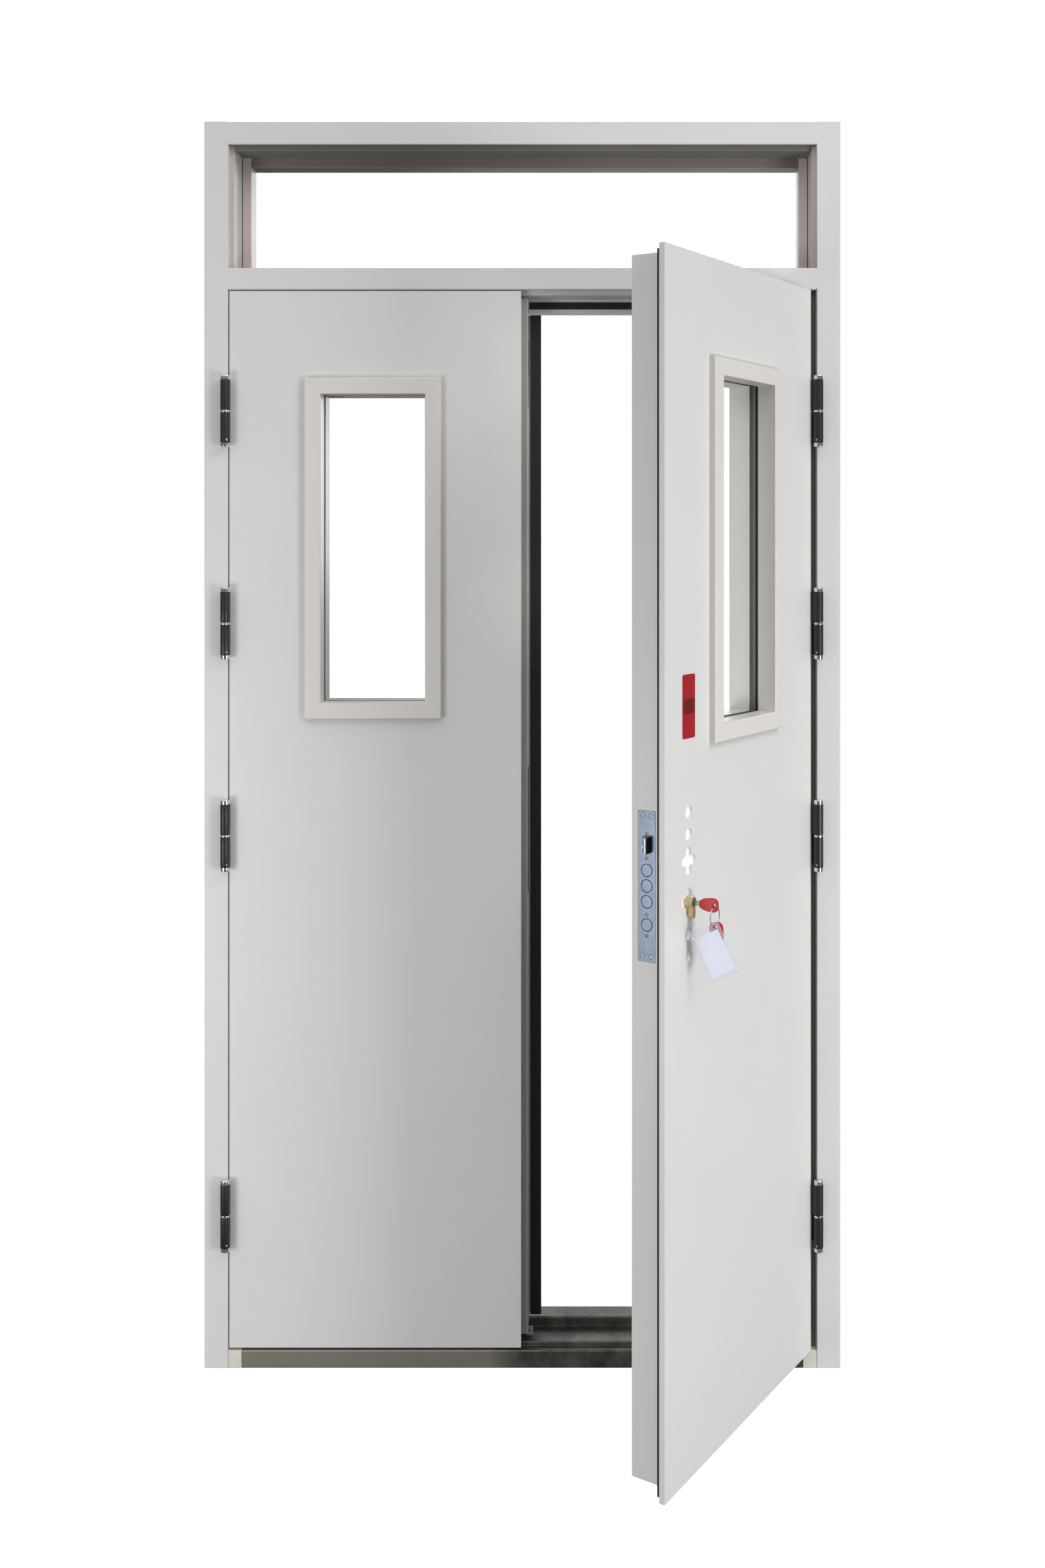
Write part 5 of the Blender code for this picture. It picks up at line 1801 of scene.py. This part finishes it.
@dataclass
class KeySet(SubAssembly):
    """Cylinder, key in its plug, and the ring with a second key and a tag."""

    line_x: float = 81 * MM
    cylinder_ease: float = 0.5 * MM
    cylinder_angle: float = 60.0
    bow_y: float = -30 * MM
    bow_reach: float = 0.5 * MM
    bow_tall: float = 31 * MM
    edge: float = 1.3 * MM
    eye_y: float = -58 * MM
    turn: float = math.radians(15)
    lean: float = math.radians(26)
    foot_z: float = 942.5 * MM
    tag_rim: float = 4.5 * MM
    tag_sunk: float = 0.2 * MM
    tag_ease: float = 0.4 * MM
    card_width: float = 43 * MM
    card_length: float = 68 * MM
    card_half: float = 0.2 * MM
    card_ease: float = 0.15 * MM
    stud_aside: float = 1.5 * MM
    stud_radius: float = 1.4 * MM
    stud_length: float = 3.6 * MM
    stud_ease: float = 0.5 * MM
    stud_sides: int = 20
    hole_drop: float = 1.2 * MM
    hole_depth: float = 1.4 * MM
    card_across: float = 18.5 * MM
    card_down: float = 39 * MM

    def cylinder(self) -> None:
        """Eases the brass cylinder and its plug."""
        for node, name, body, finish in (
            ("lock_cylinder", "profile_cylinder", "active_leaf", BRASS),
            ("cylinder_plug", "key_plug", "turning_key", CHROME),
        ):
            piece = self.shop.shut(node, name)
            round_edges(piece, self.cylinder_ease, 2, self.cylinder_angle)
            self.shop.coat(piece, finish)
            self.shop.hang(piece, body, "brass", (node,), active_place())

    def moulded(self, node: str, name: str, body: str, blade: FaceTest) -> None:
        """Rounds a key's moulded head and leaves its blade bare.

        Args:
            node: The key's solid.
            name: The piece's name.
            body: The body that carries it.
            blade: Says yes for a face of the blade, from its centre and normal.
        """
        key = self.shop.shut(node, name)
        self.shop.coat(round_edges(key, self.edge, 3), KEY_PLASTIC)
        self.shop.tint(key, KEY_STEEL, blade)
        self.shop.hang(key, body, "key_red", (node,), active_place())

    def hanging(self) -> None:
        """Dresses the ring in chrome and finishes what hangs on it."""
        self.shop.dress("key_ring", CHROME)
        low = self.foot_z - self.bow_tall
        self.moulded("spare_key", "second_key", "hanging_ring", lambda at, out: at.z < low)
        tag = self.shop.shut("key_tag", "tag_pouch")
        # The welded rim's paler finish carries a painted highlight.
        self.shop.coat(tag, POUCH_RIM)
        tag.data.materials.append(self.shop.palette.get(POUCH))
        half_sheet = max(face.area for face in tag.data.polygons) / 2
        for face in tag.data.polygons:
            face.select = face.area > half_sheet
        bpy.ops.object.mode_set(mode="EDIT")
        bpy.ops.mesh.inset(thickness=self.tag_rim, depth=-self.tag_sunk)
        tag.active_material_index = 1
        bpy.ops.object.material_slot_assign()
        bpy.ops.object.mode_set(mode="OBJECT")
        round_edges(tag, self.tag_ease)
        self.shop.hang(tag, "hanging_ring", "clear_plastic", ("key_tag",), active_place())
        self.card()

    def card(self) -> None:
        """Slides a blank card between the pouch's two studs."""
        half_x, half_z = self.card_width / 2, self.card_length / 2
        card = box(
            "tag_card", (-half_x, -self.card_half, -half_z), (half_x, self.card_half, half_z)
        )
        self.shop.coat(round_edges(card, self.card_ease, 1), CARD)
        beside, above = half_x + self.stud_aside, half_z + self.stud_aside
        # The studs' near-white finish is a painted glint.
        studs = []
        for aside, height in ((-beside, above), (beside, -above)):
            middle = (aside, 0, height)
            stud = drum("stud", self.stud_radius, self.stud_length, middle, "Y", self.stud_sides)
            studs.append(self.shop.coat(round_edges(stud, self.stud_ease), GLINT_STUD))
        card = join("tag_card", [card, *studs])
        across = Vector((math.sin(self.turn), -math.cos(self.turn), 0))
        normal = Vector((math.cos(self.turn), math.sin(self.turn), 0))
        up = Vector((0, 0, 1))
        cosine, sine = math.cos(self.lean), math.sin(self.lean)
        wide = across * cosine + up * sine
        tall = up * cosine - across * sine
        eye = Vector((self.line_x, self.eye_y, self.foot_z - self.hole_drop))
        middle = eye - normal * self.hole_depth - wide * self.card_across - tall * self.card_down
        place = Matrix((wide, normal, tall)).transposed().to_4x4()
        place.translation = middle
        card.data.transform(place)
        self.shop.hang(card, "hanging_ring", "clear_plastic", (), active_place())

    def build(self) -> None:
        """Builds the whole set."""
        self.cylinder()
        bare = self.bow_y - self.bow_reach
        self.moulded("key", "turned_key", "turning_key", lambda at, out: at.y > bare)
        self.hanging()


@dataclass
class PlainLabel(SubAssembly):
    """A plain coloured label on the active leaf, with no words or marks."""

    line_x: float = 81 * MM
    low: float = 1240 * MM
    high: float = 1344 * MM
    width: float = 42 * MM
    thick: float = 0.3 * MM
    corner: float = 4 * MM
    least_corner: float = 1 * MM
    step: float = 0.05
    band: float = 12 * MM
    band_inset: float = 3 * MM

    def patch(self, name: str, inset: float, low: float, high: float, finish: Finish) -> Object:
        """Cuts one coloured patch with rounded corners.

        Args:
            name: Its name.
            inset: How far its sides lie inside the label's.
            low: Its lower edge.
            high: Its upper edge.
            finish: Its colour.

        Returns:
            The patch.
        """
        half = self.width / 2 - inset
        rise = self.thick + inset * self.step
        patch = box(
            name, (self.line_x - half, FRONT - rise, low), (self.line_x + half, FRONT, high)
        )
        round_corners(patch, 1, rise, max(self.corner - inset, self.least_corner), 6)
        return self.shop.coat(shade(patch), finish)

    def build(self) -> None:
        """Lays the red ground with a dark band."""
        ground = self.patch("ground", 0.0, self.low, self.high, LABEL_RED)
        middle = (self.low + self.high) / 2
        low, high = middle - self.band, middle + self.band
        band = self.patch("band", self.band_inset, low, high, LABEL_DARK)
        label = join("plain_label", [ground, band])
        self.shop.hang(label, "active_leaf", "leaf_coat", (), active_place())


def main() -> None:
    """Builds the door's looks, class by class."""
    logging.basicConfig(level=logging.INFO, format="%(name)s: %(message)s")
    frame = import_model()
    shop = Workshop(frame)
    Studio().build()
    SteelFrame(shop).build()
    DoorLeaf(shop, "passive", PASSIVE_BEAD_COAT, PASSIVE_CORE).build()
    DoorLeaf(shop, "active", ACTIVE_BEAD_COAT, ACTIVE_CORE).build()
    LiftOffHinge(shop).build()
    LockEdge(shop).build()
    MeetingEdge(shop).build()
    KeySet(shop).build()
    PlainLabel(shop).build()
    LOG.info("the door is dressed")


if __name__ == "__main__":
    main()
